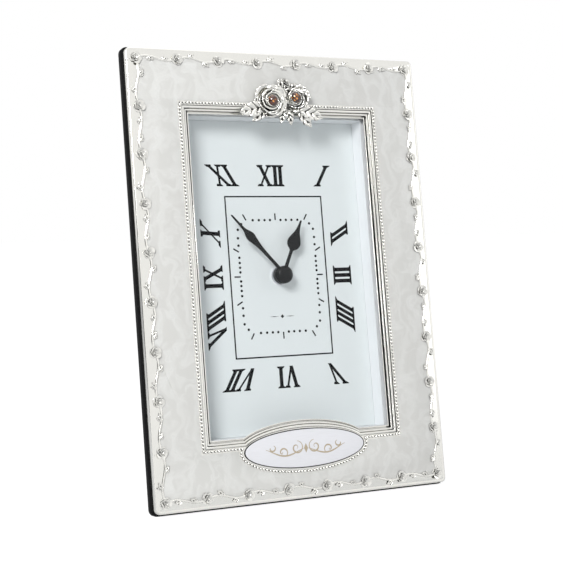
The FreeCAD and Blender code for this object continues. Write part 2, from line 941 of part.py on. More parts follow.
def make_case_rear():
    """Rear half: train chamber, battery bay open to the back, and bearing bosses."""
    shell = case_shell(case_split, movement_back)
    chamber = box(
        mirrored(chamber_half), (case_split - overrun, case_inner_back), (chamber_low, chamber_high)
    )
    bay = box(
        mirrored(chamber_half), (case_split - overrun, movement_back + overrun), (bay_low, bay_high)
    )
    shell = without(shell, [chamber, bay])
    additions = [shell]
    for x, z in rear_post_places():
        additions.append(rod(post_radius, middle_back, case_inner_back, x, z))
    bearings = (hands_place, third_wheel_place, intermediate_place, rotor_place)
    for x, z in bearings:
        additions.append(rod(hub_radius + running_gap, boss_front, case_inner_back, x, z))
    shell = joined(additions)
    bores = [
        rod(pivot_bore, boss_front - overrun, boss_front + pivot_length + layer_gap, x, z)
        for x, z in bearings
    ]
    bores.append(
        rod(knob_shaft_radius + running_gap, case_inner_back - overrun, movement_back + overrun, *knob_place)
    )
    return without(shell, bores)


def make_bushing_nut():
    return tube(nut_radius, bushing_radius, nut_back - nut_height, nut_back, *hands_place)


def make_dial_washer():
    return tube(washer_radius, bushing_radius, nut_back, dial_depth, *hands_place)


# Wheels and arbors
def make_hour_wheel():
    wheel = toothed_disc(hands_place, hour_wheel_teeth, hour_module, phases["hour_wheel"], hour_layer)
    pipe = rod(hour_pipe_radius, hour_hand_depth, hour_layer + layer_thickness, *hands_place)
    bore = rod(
        minute_arbor_radius + running_gap,
        hour_hand_depth - overrun,
        hour_layer + layer_thickness + overrun,
        *hands_place
    )
    return joined([wheel, pipe]).cut(bore)


def make_minute_arbor():
    """Arbor from the hand to the train, with the cannon pinion, hollow at its rear."""
    arbor_front = minute_hand_depth - collet_gap
    arbor_back = third_layer - 2 * running_gap
    arbor = rod(minute_arbor_radius, arbor_front, arbor_back, *hands_place)
    pinion = toothed_disc(hands_place, cannon_teeth, motion_module, phases["cannon"], minute_layer)
    bore = rod(pivot_bore, centre_layer - pivot_length, arbor_back + overrun, *hands_place)
    return joined([arbor, pinion]).cut(bore)


def make_minute_wheel():
    wheel = toothed_disc(
        minute_wheel_place, minute_wheel_teeth, motion_module, phases["minute_wheel"], minute_layer
    )
    pinion = toothed_disc(
        minute_wheel_place, minute_pinion_teeth, hour_module, phases["minute_pinion"], hour_layer
    )
    hub = rod(hub_radius, hour_layer, minute_layer, *minute_wheel_place)
    bore = rod(
        stud_radius + running_gap,
        hour_layer - overrun,
        minute_layer + layer_thickness + overrun,
        *minute_wheel_place
    )
    return joined([wheel, pinion, hub]).cut(bore)


def make_set_knob():
    """Ribbed knob behind the case, its shaft, the pinion and the front pivot."""
    head_front = movement_back + knob_case_gap
    head_back = head_front + knob_height
    head = rod(knob_radius, head_front, head_back, *knob_place)
    ribs = []
    for index in range(knob_ribs):
        x, z = step_from(knob_place, knob_radius, 2 * half_turn * index / knob_ribs)
        ribs.append(rod(knob_rib_height, head_front, head_back, x, z))
    shaft = rod(knob_shaft_radius, minute_layer, head_front, *knob_place)
    pinion = toothed_disc(
        knob_place, knob_pinion_teeth, motion_module, phases["knob_pinion"], minute_layer
    )
    pivot_front = case_split - pivot_length + running_gap
    pivot = rod(train_arbor_radius, pivot_front, minute_layer, *knob_place)
    return joined([head, shaft, pinion, pivot] + ribs)


def make_centre_wheel():
    wheel = toothed_disc(
        hands_place, centre_wheel_teeth, centre_module, phases["centre_wheel"], centre_layer
    )
    bore = rod(
        minute_arbor_radius + running_gap, centre_layer - overrun, third_layer + overrun, *hands_place
    )
    return wheel.cut(bore)


def train_arbor(place, y_front):
    """A thin arbor that ends in the rear case's boss."""
    return rod(train_arbor_radius, y_front, boss_front + pivot_length, *place)


def make_third_wheel():
    pinion = toothed_disc(
        third_wheel_place, third_pinion_teeth, centre_module, phases["third_pinion"], centre_layer
    )
    wheel = toothed_disc(
        third_wheel_place, third_wheel_teeth, third_module, phases["third_wheel"], third_layer
    )
    return joined([pinion, wheel, train_arbor(third_wheel_place, middle_front)])


def make_seconds_wheel():
    pinion = toothed_disc(
        hands_place, seconds_pinion_teeth, third_module, phases["seconds_pinion"], third_layer
    )
    wheel = toothed_disc(
        hands_place, seconds_wheel_teeth, seconds_module, phases["seconds_wheel"], seconds_layer
    )
    arbor = train_arbor(hands_place, centre_layer - pivot_length + running_gap)
    return joined([pinion, wheel, arbor])


def make_intermediate_wheel():
    pinion = toothed_disc(
        intermediate_place,
        intermediate_pinion_teeth,
        seconds_module,
        phases["intermediate_pinion"],
        seconds_layer,
    )
    wheel = toothed_disc(
        intermediate_place,
        intermediate_wheel_teeth,
        rotor_module,
        phases["intermediate_wheel"],
        intermediate_layer,
    )
    return joined([pinion, wheel, train_arbor(intermediate_place, middle_front)])


def make_rotor():
    """Round magnet on its arbor, with the pinion behind."""
    magnet = rod(
        magnet_radius, middle_back + magnet_float, middle_back + magnet_float + magnet_thickness, *rotor_place
    )
    pinion = toothed_disc(
        rotor_place, rotor_pinion_teeth, rotor_module, phases["rotor_pinion"], intermediate_layer
    )
    return joined([magnet, pinion, train_arbor(rotor_place, middle_front)])


# Motor and circuit
def stator_span():
    low = rotor_place[1] - stator_below
    return low, low + stator_length


def make_stator():
    low, high = stator_span()
    left = rotor_place[0] - magnet_radius - magnet_air_gap - stator_rim
    right = coil_axis_x - coil_radius - coil_wall_gap
    strip = box((left, right), (middle_back, middle_back + stator_thickness), (low, high))
    return strip.cut(
        rod(magnet_radius + magnet_air_gap, middle_back - overrun, seconds_layer, *rotor_place)
    )


def make_coil_core():
    """Bar through the coil with a tab on each end of the stator."""
    low, high = stator_span()
    front = middle_back + stator_thickness
    span = (front, front + core_thickness)
    left = rotor_place[0] - magnet_radius
    axis = coil_axis_x
    bar = box((axis - core_width / 2, axis + core_width / 2), span, (low, high))
    lower = box((left, axis), span, (low, low + core_tab))
    upper = box((left, axis), span, (high - core_tab, high))
    return joined([bar, lower, upper])


def make_coil_winding():
    low, high = stator_span()
    front = middle_back + stator_thickness
    axis = coil_axis_x
    start = low + core_tab + coil_end_gap
    length = high - core_tab - coil_end_gap - start
    winding = Part.makeCylinder(
        coil_radius, length, Vector(axis, front + core_thickness / 2, start), Vector(0, 0, 1)
    )
    core = box(
        (axis - core_width / 2, axis + core_width / 2), (front, front + core_thickness), (low, high)
    )
    return winding.cut(core)


def circuit_spans():
    left = -chamber_half + middle_plate_gap + post_inset
    high = chamber_high - post_inset
    return (left, left + circuit_width), (high - circuit_height, high)


def make_circuit_board():
    x_span, z_span = circuit_spans()
    return box(x_span, (middle_back, middle_back + circuit_thickness), z_span)


def make_driver_chip():
    x_span, z_span = circuit_spans()
    seat = middle_back + circuit_thickness
    x, z = sum(x_span) / 2, z_span[0] + chip_size
    half = chip_size / 2
    return box((x - half, x + half), (seat, seat + chip_thickness), (z - half, z + half))


def make_crystal_can():
    x_span, z_span = circuit_spans()
    seat = middle_back + circuit_thickness
    x = sum(x_span) / 2
    z = z_span[1] - 2 * crystal_radius
    can = cross_rod(
        crystal_radius, (x - crystal_length / 2, x + crystal_length / 2), seat + crystal_radius, z
    )
    foot = box(
        (x - crystal_length / 2, x + crystal_length / 2),
        (seat, seat + crystal_radius),
        (z - crystal_radius / 2, z + crystal_radius / 2),
    )
    return joined([can, foot])


# Battery and contacts
def battery_tip_x():
    return chamber_half - contact_thickness


def make_battery():
    tip = battery_tip_x()
    body_end = tip - battery_nub_length
    body = cross_rod(battery_diameter / 2, (tip - battery_length, body_end), battery_axis_y, battery_axis_z)
    nub = cross_rod(battery_nub_radius, (body_end, tip), battery_axis_y, battery_axis_z)
    return joined([body, nub])


def contact_plate(x_span, height):
    return box(
        x_span,
        (battery_axis_y - contact_width / 2, battery_axis_y + contact_width / 2),
        (battery_axis_z - height / 2, battery_axis_z + height / 2),
    )


def make_contact_plus():
    return contact_plate((battery_tip_x(), chamber_half), contact_height)


def make_contact_minus():
    """A strip folded over into a spring that presses on the cell's flat end."""
    wall = -chamber_half
    cell_end = battery_tip_x() - battery_length
    plate = contact_plate((wall, wall + contact_thickness), contact_height)
    spring = contact_plate((cell_end - contact_thickness, cell_end), contact_height)
    top = battery_axis_z + contact_height / 2
    bend = box(
        (wall, cell_end),
        (battery_axis_y - contact_width / 2, battery_axis_y + contact_width / 2),
        (top - contact_thickness, top),
    )
    return joined([plate, spring, bend])


# Hands
def hand_blade(length, outline_shares, y_front):
    """A pointed blade upwards from the centre, wide where its shares say."""
    right = [(share * length, reach * length) for reach, share in outline_shares]
    left = [(-x, z) for x, z in reversed(right)]
    x_root = right[0][0]
    corners = [(x_root, 0)] + right + [(0, length)] + left + [(-x_root, 0)]
    placed = [(x, hands_height + z) for x, z in corners]
    return prism(placed, y_front, y_front + hand_thickness)


def make_hand(length, outline_shares, y_front, angle, collet_radius, collet_back, bore_radius):
    blade = hand_blade(length, outline_shares, y_front)
    disc = rod(hand_hub_radius, y_front, y_front + hand_thickness, *hands_place)
    collet = rod(collet_radius, y_front, collet_back, *hands_place)
    bore = rod(bore_radius, y_front - overrun, collet_back + overrun, *hands_place)
    hand = joined([blade, disc, collet]).cut(bore)
    return turned(hand, angle, *hands_place)


def make_minute_hand():
    return make_hand(
        minute_hand_length,
        minute_hand_outline_shares,
        minute_hand_depth,
        minute_hand_angle,
        minute_collet_radius,
        hour_hand_depth - collet_gap,
        minute_arbor_radius,
    )


def make_hour_hand():
    return make_hand(
        hour_hand_length,
        hour_hand_outline_shares,
        hour_hand_depth,
        hour_hand_angle,
        hour_collet_radius,
        bushing_front - collet_gap,
        hour_pipe_radius,
    )


def make_hand_cap():
    """Domed cap pressed on the minute arbor's end."""
    back = minute_hand_depth
    rim = rod(cap_radius, back - cap_rim, back, *hands_place)
    rise = cap_height - cap_rim
    ball_radius = (cap_radius**2 + rise**2) / (2 * rise)
    ball = Part.makeSphere(ball_radius, Vector(0, back - cap_height + ball_radius, hands_height))
    dome = ball.common(rod(cap_radius, back - cap_height - overrun, back - cap_rim, *hands_place))
    socket = rod(minute_arbor_radius, minute_hand_depth - collet_gap, back + overrun, *hands_place)
    return joined([rim, dome]).cut(socket)


# Easel strut. Its pieces are made folded, parallel to the cover, and then opened.
def opened(shape):
    copy = shape.copy()
    pin = Vector(0, hinge_pin_depth, strut_pin_height)
    copy.rotate(pin, Vector(1, 0, 0), strut_open_angle)
    return copy


def strut_reach():
    """Length from the pin to the strut's end, just above the ground when open."""
    pin = leaned_point(0, hinge_pin_depth, strut_pin_height)
    slope = math.radians(strut_open_angle - lean_angle)
    inner = hinge_knuckle_radius * math.sin(slope)
    return (pin.z + inner - strut_foot_clearance) / math.cos(slope)


def bracket_rivet_places():
    x = hinge_width * rivet_spread_share
    z = strut_pin_height + bracket_height * rivet_height_share
    return [(-x, z), (x, z)]


def leaf_rivet_places():
    x = hinge_width * rivet_spread_share
    z = strut_pin_height - leaf_height * rivet_height_share
    return [(-x, z), (x, z)]


def leg_front():
    return hinge_pin_depth + hinge_knuckle_radius


def leg_corners():
    """Half widths and heights of the leg's top and end."""
    top = strut_pin_height - hinge_knuckle_radius - hinge_gap
    end = strut_pin_height - strut_reach()
    return top, end


def make_strut_leg():
    top, end = leg_corners()
    half_top, half_foot = strut_top_width / 2, strut_foot_width / 2
    corners = [(-half_foot, end), (half_foot, end), (half_top, top), (-half_top, top)]
    leg = prism(corners, leg_front(), leg_front() + strut_thickness)
    top_edges = [
        e
        for e in leg.Edges
        if abs(e.tangentAt(e.FirstParameter).y) > along_share and e.BoundBox.ZMin > top - strut_thickness
    ]
    leg = leg.makeFillet(strut_corner_radius, top_edges)
    holes = [
        rod(rivet_radius, leg_front() - overrun, leg_front() + strut_thickness + overrun, x, z)
        for x, z in leaf_rivet_places()
    ]
    return opened(without(leg, holes))


def make_strut_foot_tip():
    """Shoe over the leg's end, cut flat where it stands on the ground."""
    top, end = leg_corners()
    front, back = leg_front(), leg_front() + strut_thickness
    slope = (strut_foot_width - strut_top_width) / 2 / (top - end)
    half_end = strut_foot_width / 2
    half_up = half_end - slope * tip_height
    half_down = half_end + slope * tip_height
    outer = prism(
        [
            (-half_down - tip_wall, end - tip_height),
            (half_down + tip_wall, end - tip_height),
            (half_up + tip_wall, end + tip_height),
            (-half_up - tip_wall, end + tip_height),
        ],
        front - tip_wall,
        back + tip_wall,
    )
    half_over = half_up - slope * overrun
    pocket = prism(
        [
            (-half_end - tip_gap, end),
            (half_end + tip_gap, end),
            (half_over + tip_gap, end + tip_height + overrun),
            (-half_over - tip_gap, end + tip_height + overrun),
        ],
        front - tip_gap,
        back + tip_gap,
    )
    tip = lean_back(opened(outer.cut(pocket)))
    return tip.cut(below_ground())


def below_ground():
    """Everything under the ground plane, in the leaned frame."""
    return box(mirrored(plate_height), mirrored(plate_height), (-plate_height, 0))


def make_hinge_bracket():
    """Fixed leaf on the cover, with a knuckle at each side of the moving one."""
    half = hinge_width / 2
    notch = hinge_moving_width / 2 + hinge_gap
    plate = box(
        mirrored(half),
        (cover_back, cover_back + hinge_leaf_thickness),
        (strut_pin_height, strut_pin_height + bracket_height),
    )
    knuckles = [
        cross_rod(hinge_knuckle_radius, span, hinge_pin_depth, strut_pin_height)
        for span in ((-half, -notch), (notch, half))
    ]
    gussets = [
        box(
            span,
            (cover_back, hinge_pin_depth),
            (strut_pin_height - hinge_knuckle_radius / 2, strut_pin_height + hinge_knuckle_radius),
        )
        for span in ((-half, -notch), (notch, half))
    ]
    gap = box(
        mirrored(notch),
        (cover_back - overrun, hinge_pin_depth + overrun),
        (strut_pin_height - overrun, strut_pin_height + hinge_knuckle_radius + hinge_gap),
    )
    pin_hole = cross_rod(hinge_pin_radius, mirrored(half + overrun), hinge_pin_depth, strut_pin_height)
    holes = [
        rod(rivet_radius, cover_back - overrun, cover_back + hinge_leaf_thickness + overrun, x, z)
        for x, z in bracket_rivet_places()
    ]
    plate = plate.cut(gap)
    return without(joined([plate] + gussets + knuckles), [pin_hole] + holes)


def make_hinge_leaf():
    """Moving leaf on the strut, its knuckle, and the tab that stops it when open."""
    half_moving = hinge_moving_width / 2
    leaf_back = leg_front()
    leaf_front = leaf_back - hinge_leaf_thickness
    low = strut_pin_height - leaf_height
    top = leg_corners()[0]
    wide = box(mirrored(hinge_width / 2), (leaf_front, leaf_back), (low, top))
    neck = box(mirrored(half_moving), (leaf_front, leaf_back), (low, strut_pin_height))
    knuckle = cross_rod(hinge_knuckle_radius, mirrored(half_moving), hinge_pin_depth, strut_pin_height)
    holes = [
        rod(rivet_radius, leaf_front - overrun, leaf_back + overrun, x, z) for x, z in leaf_rivet_places()
    ]
    leaf = opened(without(joined([wide, neck, knuckle]), holes))
    tab_front = cover_back + hinge_leaf_thickness + stop_gap
    tab = box(
        mirrored(half_moving - hinge_gap),
        (tab_front, tab_front + hinge_leaf_thickness),
        (strut_pin_height, strut_pin_height + stop_tab_height),
    )
    pin_hole = cross_rod(
        hinge_pin_radius + running_gap, mirrored(hinge_width), hinge_pin_depth, strut_pin_height
    )
    return joined([leaf, tab]).cut(pin_hole)


def make_hinge_pin():
    half = hinge_width / 2
    pin = cross_rod(hinge_pin_radius, mirrored(half), hinge_pin_depth, strut_pin_height)
    head_radius = (hinge_pin_radius + hinge_knuckle_radius) / 2
    heads = [
        cross_rod(head_radius, span, hinge_pin_depth, strut_pin_height)
        for span in ((-half - hinge_pin_head, -half), (half, half + hinge_pin_head))
    ]
    return joined([pin] + heads)


def make_rivet(x, z, y_front, y_back):
    """A rivet with a low head at each end."""
    shank = rod(rivet_radius, y_front, y_back, x, z)
    front_head = cone(rivet_radius, rivet_head_radius, y_front - rivet_head_height, y_front, x, z)
    back_head = cone(rivet_head_radius, rivet_radius, y_back, y_back + rivet_head_height, x, z)
    return joined([shank, front_head, back_head])


def make_bracket_rivets():
    front, back = cover_back - cover_wall, cover_back + hinge_leaf_thickness
    return Part.makeCompound([make_rivet(x, z, front, back) for x, z in bracket_rivet_places()])


def make_leaf_rivets():
    front, back = leg_front() - hinge_leaf_thickness, leg_front() + strut_thickness
    return opened(Part.makeCompound([make_rivet(x, z, front, back) for x, z in leaf_rivet_places()]))


def make_resting_board():
    """The backing board, leaned, with its rear lower corner cut to the resting flat."""
    return lean_back(make_backing_board()).cut(below_ground())


# Upright makers are leaned back on writing. The last two already stand as they rest.
upright_pieces = {
    "front_frame": make_front_frame,
    "pearl_inlay": make_pearl_inlay,
    "name_plate": make_name_plate,
    "rose_spray": make_rose_spray,
    "amber_stones": make_amber_stones,
    "window_glass": make_window_glass,
    "dial_surround": make_dial_surround,
    "dial_plate": make_dial_plate,
    "rear_cover": make_rear_cover,
    "rear_cover_screws": make_rear_cover_screws,
    "movement_case_front": make_case_front,
    "movement_middle_plate": make_middle_plate,
    "movement_case_rear": make_case_rear,
    "bushing_nut": make_bushing_nut,
    "dial_washer": make_dial_washer,
    "hour_wheel": make_hour_wheel,
    "hour_hand": make_hour_hand,
    "minute_arbor": make_minute_arbor,
    "minute_hand": make_minute_hand,
    "hand_cap": make_hand_cap,
    "minute_wheel": make_minute_wheel,
    "set_knob": make_set_knob,
    "centre_wheel": make_centre_wheel,
    "third_wheel": make_third_wheel,
    "seconds_wheel": make_seconds_wheel,
    "intermediate_wheel": make_intermediate_wheel,
    "rotor": make_rotor,
    "stator": make_stator,
    "coil_core": make_coil_core,
    "coil_winding": make_coil_winding,
    "circuit_board": make_circuit_board,
    "driver_chip": make_driver_chip,
    "crystal_can": make_crystal_can,
    "battery": make_battery,
    "battery_contact_plus": make_contact_plus,
    "battery_contact_minus": make_contact_minus,
    "strut_leg": make_strut_leg,
    "strut_hinge_bracket": make_hinge_bracket,
    "strut_hinge_leaf": make_hinge_leaf,
    "strut_hinge_pin": make_hinge_pin,
    "bracket_rivets": make_bracket_rivets,
    "leaf_rivets": make_leaf_rivets,
}
standing_pieces = {
    "backing_board": make_resting_board,
    "strut_foot_tip": make_strut_foot_tip,
}

os.makedirs("parts", exist_ok=True)
for name, maker in upright_pieces.items():
    lean_back(maker()).exportStep("parts/" + name + ".step")
for name, maker in standing_pieces.items():
    maker().exportStep("parts/" + name + ".step")
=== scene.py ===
import json
from math import asin, atan2, cos, degrees, dist, pi, radians, sin
from types import SimpleNamespace

import bmesh
import bpy
from mathutils import Matrix, Vector


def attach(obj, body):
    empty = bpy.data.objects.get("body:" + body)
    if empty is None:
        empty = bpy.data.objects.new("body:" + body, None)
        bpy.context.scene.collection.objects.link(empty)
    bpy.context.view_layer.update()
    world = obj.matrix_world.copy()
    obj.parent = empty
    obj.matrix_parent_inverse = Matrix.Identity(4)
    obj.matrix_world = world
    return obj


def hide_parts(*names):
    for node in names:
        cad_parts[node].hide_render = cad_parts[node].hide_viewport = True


bl_info = {
    "name": "Rose Border Frame Clock",
    "version": (1, 0, 0),
    "blender": (4, 5, 0),
    "location": "3D View > Sidebar > Frame Clock",
    "description": "Dresses the packed clock in silver, pearl enamel, dial print, hands and velvet",
    "category": "Object",
}

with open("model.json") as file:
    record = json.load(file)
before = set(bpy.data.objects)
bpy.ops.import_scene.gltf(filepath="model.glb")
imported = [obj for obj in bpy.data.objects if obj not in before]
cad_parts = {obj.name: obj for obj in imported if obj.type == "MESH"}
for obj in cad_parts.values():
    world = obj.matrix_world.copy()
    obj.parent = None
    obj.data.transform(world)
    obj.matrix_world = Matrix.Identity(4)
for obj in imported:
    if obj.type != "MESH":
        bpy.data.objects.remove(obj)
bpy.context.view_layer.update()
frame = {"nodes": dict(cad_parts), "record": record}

# Pieces are modelled upright in millimetres: x to the right, y to the back from the
# plate's front, z up from its lower edge. UPRIGHT carries them to the leaning clock.
LEAN = radians(9.46)
FLAT_CENTRE_Y = 5.2393
GROUND_SHIFT = 1.5355
UPRIGHT = (
    Matrix.Translation((0, -FLAT_CENTRE_Y / 1000, GROUND_SHIFT / 1000))
    @ Matrix.Rotation(-LEAN, 4, "X")
    @ Matrix.Scale(0.001, 4)
)
SIDEWAYS = (radians(90), 0, 0)
FACE_FRONT = Matrix.Rotation(radians(90), 4, "X")
FRONT = (0, -cos(LEAN), sin(LEAN))


# ---- values ----
def length(name, description, millimetres):
    return bpy.props.FloatProperty(
        name=name, description=description, default=millimetres / 1000, min=0, unit="LENGTH"
    )


def colour(name, description, red, green, blue):
    """A colour given as it looks on screen, from 0 to 255."""
    linear = [((v / 255 + 0.055) / 1.055) ** 2.4 if v > 10 else v / 255 / 12.92 for v in (red, green, blue)]
    return bpy.props.FloatVectorProperty(
        name=name, description=description, default=linear, size=3, min=0, max=1, subtype="COLOR"
    )


class FrameSizes(bpy.types.PropertyGroup):
    plate_width: length("Plate width", "Outer width of the silver plate", 145)
    plate_height: length("Plate height", "Outer height of the silver plate", 200)
    plate_depth: length("Rim depth", "Depth of the plate's rim", 3.5)
    plate_wall: length("Wall", "Thickness of the plate's wall", 1)
    corner_radius: length("Corner radius", "Radius of the plate's corners", 2.2)
    edge_round: length("Edge rounding", "Rounding along the plate's front edge", 0.6)
    sight_width: length("Opening width", "Width of the opening at the glass", 88.2)
    sight_height: length("Opening height", "Height of the opening at the glass", 142.4)
    sight_bottom: length("Opening foot", "Height of the opening's lower edge", 29)
    reed_width: length("Reed width", "Width of one reed of the moulding", 1.3)
    bead_diameter: length("Bead", "Diameter of a bead", 1.3)
    bead_pitch: length("Bead pitch", "Distance from bead to bead", 1.57)
    plaque_width: length("Plaque width", "Width of the oval plaque", 59.2)
    plaque_height: length("Plaque height", "Height of the oval plaque", 16.6)
    plaque_centre: length("Plaque centre", "Height of the oval plaque's centre", 22)
    plaque_rim: length("Plaque rim", "Distance from the plaque to the moulding", 0.85)
    board_over: length("Board edge", "How far the velvet board stands out round the plate", 0.9)


class BorderSizes(bpy.types.PropertyGroup):
    margin: length("Margin", "Distance of the border's line from the plate's edge", 4.5)
    rose_diameter: length("Rose", "Diameter of a border rose", 5.6)
    rose_height: length("Rose height", "Height of a border rose", 1.2)
    vine_width: length("Vine", "Thickness of the vine", 1.05)
    vine_wave: length("Vine wave", "How far the vine swings from its line", 0.95)
    leaf_length: length("Leaf", "Length of a border leaf", 3.4)


class DialSizes(bpy.types.PropertyGroup):
    dial_depth: length("Dial depth", "Depth of the dial behind the plate's front", 12.86)
    hands_height: length("Hands height", "Height of the hands' centre", 100.2)
    numeral_height: length("Numeral height", "Height of a numeral", 9.9)
    numeral_foot: length("Numeral foot", "Distance of the upper numerals' feet from the centre", 41.3)
    side_foot: length("Side foot", "Distance of the side numerals' feet from the centre", 28.2)
    thick_stroke: length("Thick stroke", "Width of a numeral's thick stroke", 1.75)
    thin_stroke: length("Thin stroke", "Width of a numeral's thin stroke", 1.0)
    minute_hand: length("Minute hand", "Length of the minute hand", 37)
    hour_hand: length("Hour hand", "Length of the hour hand", 27.2)


class FinishColours(bpy.types.PropertyGroup):
    silver: colour("Silver", "Polished silver plate", 240, 239, 234)
    pearl: colour("Pearl", "Pearl enamel", 208, 208, 204)
    pearl_light: colour("Pearl light", "Light veins in the enamel", 224, 224, 221)
    plaque: colour("Plaque", "Pale lacquered plaque", 218, 218, 221)
    champagne: colour("Champagne", "Engraved ornament on the plaque", 196, 182, 158)
    amber: colour("Amber", "Stones in the roses", 92, 34, 8)
    dial: colour("Dial", "Dial plate", 223, 228, 228)
    recess: colour("Recess", "Walls round the dial", 234, 236, 238)
    ink: colour("Ink", "Dial print and hands", 12, 12, 14)
    velvet: colour("Velvet", "Board and strut", 9, 9, 10)


def in_mm(group):
    """A group's lengths as plain millimetres."""
    return SimpleNamespace(**{key: getattr(group, key) * 1000 for key in group.__annotations__})


def frame_sizes():
    """The frame's lengths, with those that follow from them."""
    f = in_mm(bpy.context.scene.clock_frame)
    f.moulding = 3 * f.reed_width
    f.sight_top = f.sight_bottom + f.sight_height
    return f


# ---- modelling ----
def unselect():
    """Go to object mode with nothing selected."""
    if bpy.context.object and bpy.context.object.mode != "OBJECT":
        bpy.ops.object.mode_set(mode="OBJECT")
    bpy.ops.object.select_all(action="DESELECT")


def only(obj):
    """Make obj the one selected and active object, in object mode."""
    unselect()
    obj.select_set(True)
    bpy.context.view_layer.objects.active = obj


def fresh(add, name, **settings):
    """Add a primitive with nothing else selected, its place and size in its mesh."""
    unselect()
    add(**settings)
    obj = bpy.context.object
    obj.name = name
    bpy.ops.object.transform_apply(location=True, rotation=True, scale=True)
    return obj


def box(name, centre, size):
    return fresh(bpy.ops.mesh.primitive_cube_add, name, size=1, location=centre, scale=size)


def disc(name, centre, radius, depth, vertices, scale=(1, 1, 1)):
    """A cylinder whose axis runs from front to back."""
    settings = {"vertices": vertices, "radius": radius, "depth": depth, "location": centre}
    return fresh(bpy.ops.mesh.primitive_cylinder_add, name, rotation=SIDEWAYS, scale=scale, **settings)


def grid(name, columns, rows):
    """A grid of 2 by 2 about the origin, for pieces whose points are then set one by one."""
    return fresh(
        bpy.ops.mesh.primitive_grid_add, name, x_subdivisions=columns, y_subdivisions=rows, size=2
    )


def dome(name, centre, radius, segments, rings, flat, edge, foot):
    """The part of a ball in front of y = edge, carried back by foot and closed there."""
    settings = {"segments": segments, "ring_count": rings, "radius": radius, "location": centre}
    ball = fresh(
        bpy.ops.mesh.primitive_uv_sphere_add, name, rotation=SIDEWAYS, scale=(1, 1, flat), **settings
    )
    pick(ball, "verts", lambda v: v.co.y > edge)
    bpy.ops.mesh.delete(type="VERT")
    pick(ball, "edges", lambda e: e.is_boundary)
    bpy.ops.mesh.extrude_edges_move(TRANSFORM_OT_translate={"value": (0, foot, 0)})
    bpy.ops.mesh.edge_face_add()
    done(ball)
    return tidy(ball)


def pick(obj, kind, test):
    """Go to edit mode and select the verts, edges or faces that pass the test."""
    if bpy.context.object is not obj or obj.mode != "EDIT":
        only(obj)
        bpy.ops.object.mode_set(mode="EDIT")
    bpy.ops.mesh.select_mode(type={"verts": "VERT", "edges": "EDGE", "faces": "FACE"}[kind])
    bpy.ops.mesh.select_all(action="DESELECT")
    mesh = bmesh.from_edit_mesh(obj.data)
    for item in getattr(mesh, kind):
        if test(item):
            item.select_set(True)
    mesh.select_flush_mode()
    bmesh.update_edit_mesh(obj.data)


def runs_back(edge):
    """Whether an edge runs from front to back."""
    return abs(edge.verts[0].co.y - edge.verts[1].co.y) > 1


def done(obj):
    bpy.ops.object.mode_set(mode="OBJECT")
    return obj


def tidy(obj, merge=0.0005):
    """Merge doubles and turn all faces outwards."""
    pick(obj, "verts", lambda v: True)
    bpy.ops.mesh.remove_doubles(threshold=merge)
    bpy.ops.mesh.normals_make_consistent(inside=False)
    return done(obj)


def modify(obj, kind, **settings):
    """Add a modifier with its settings and apply it."""
    only(obj)
    modifier = obj.modifiers.new(kind.title(), kind)
    for key, value in settings.items():
        setattr(modifier, key, value)
    bpy.ops.object.modifier_apply(modifier=modifier.name)
    return obj


def cut(obj, cutter):
    modify(obj, "BOOLEAN", operation="DIFFERENCE", object=cutter, solver="EXACT")
    bpy.data.objects.remove(cutter)
    return obj


def chamfer(obj):
    """Take off the sharp edges a little."""
    return modify(obj, "BEVEL", width=0.08, segments=2, limit_method="ANGLE")


def join(name, parts):
    only(parts[0])
    for part in parts:
        part.select_set(True)
    if len(parts) > 1:
        bpy.ops.object.join()
    parts[0].name = name
    return parts[0]


def copies(obj, places):
    """Copies of obj, each with its own mesh, moved by the given matrices."""
    made = []
    for matrix in places:
        copy = obj.copy()
        copy.data = obj.data.copy()
        copy.data.transform(matrix)
        bpy.context.scene.collection.objects.link(copy)
        made.append(copy)
    bpy.data.objects.remove(obj)
    return made


def curve_mesh(name, lines, closed, radii, **settings):
    """A mesh from a curve through lists of (x, z) points, on the x-z plane at y = 0."""
    curve = bpy.data.curves.new(name, "CURVE")
    for key, value in settings.items():
        setattr(curve, key, value)
    for index, line in enumerate(lines):
        spline = curve.splines.new("POLY")
        spline.points.add(len(line) - 1)
        for number, (point, (x, z)) in enumerate(zip(spline.points, line)):
            point.co = (x, z, 0, 1)
            if radii:
                point.radius = radii[index][number]
        spline.use_cyclic_u = closed
    obj = bpy.data.objects.new(name, curve)
    bpy.context.scene.collection.objects.link(obj)
    only(obj)
    bpy.ops.object.convert(target="MESH")
    obj = bpy.context.object
    obj.data.transform(FACE_FRONT)
    return obj


def slab(name, outlines, depth, y=0.0):
    """A flat piece within outlines, its middle at y."""
    obj = curve_mesh(name, outlines, True, None, dimensions="2D", fill_mode="BOTH", extrude=depth / 2)
    obj.data.transform(Matrix.Translation((0, y, 0)))
    return obj


def wire(name, lines, radius, closed=False, radii=None):
    return curve_mesh(name, lines, closed, radii, dimensions="3D", bevel_depth=radius, bevel_resolution=2)


def on_front(x, y, z, heading=0.0):
    """The matrix that lays a rose or a leaf on the front. The heading turns +x towards up."""
    return Matrix.Translation((x, y, z)) @ Matrix.Rotation(-heading, 4, "Y") @ FACE_FRONT


def dress(obj, material, angle):
    """Give a piece its finish, and shade it smooth up to an angle in degrees."""
    only(obj)
    bpy.ops.object.shade_smooth_by_angle(angle=radians(angle))
    obj.data.materials.clear()
    obj.data.materials.append(finish(material))


REPLACED = set()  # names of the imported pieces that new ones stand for


def place(obj, name, material, replaces=(), angle=35, body="case"):
    """Lean the finished piece, give it its finish and let it ride on its body."""
    dress(obj, material, angle)
    obj.data.transform(UPRIGHT)
    obj.name = name
    obj.data.name = name
    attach(obj, body)
    if replaces:
        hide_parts(*replaces)
        REPLACED.update(replaces)


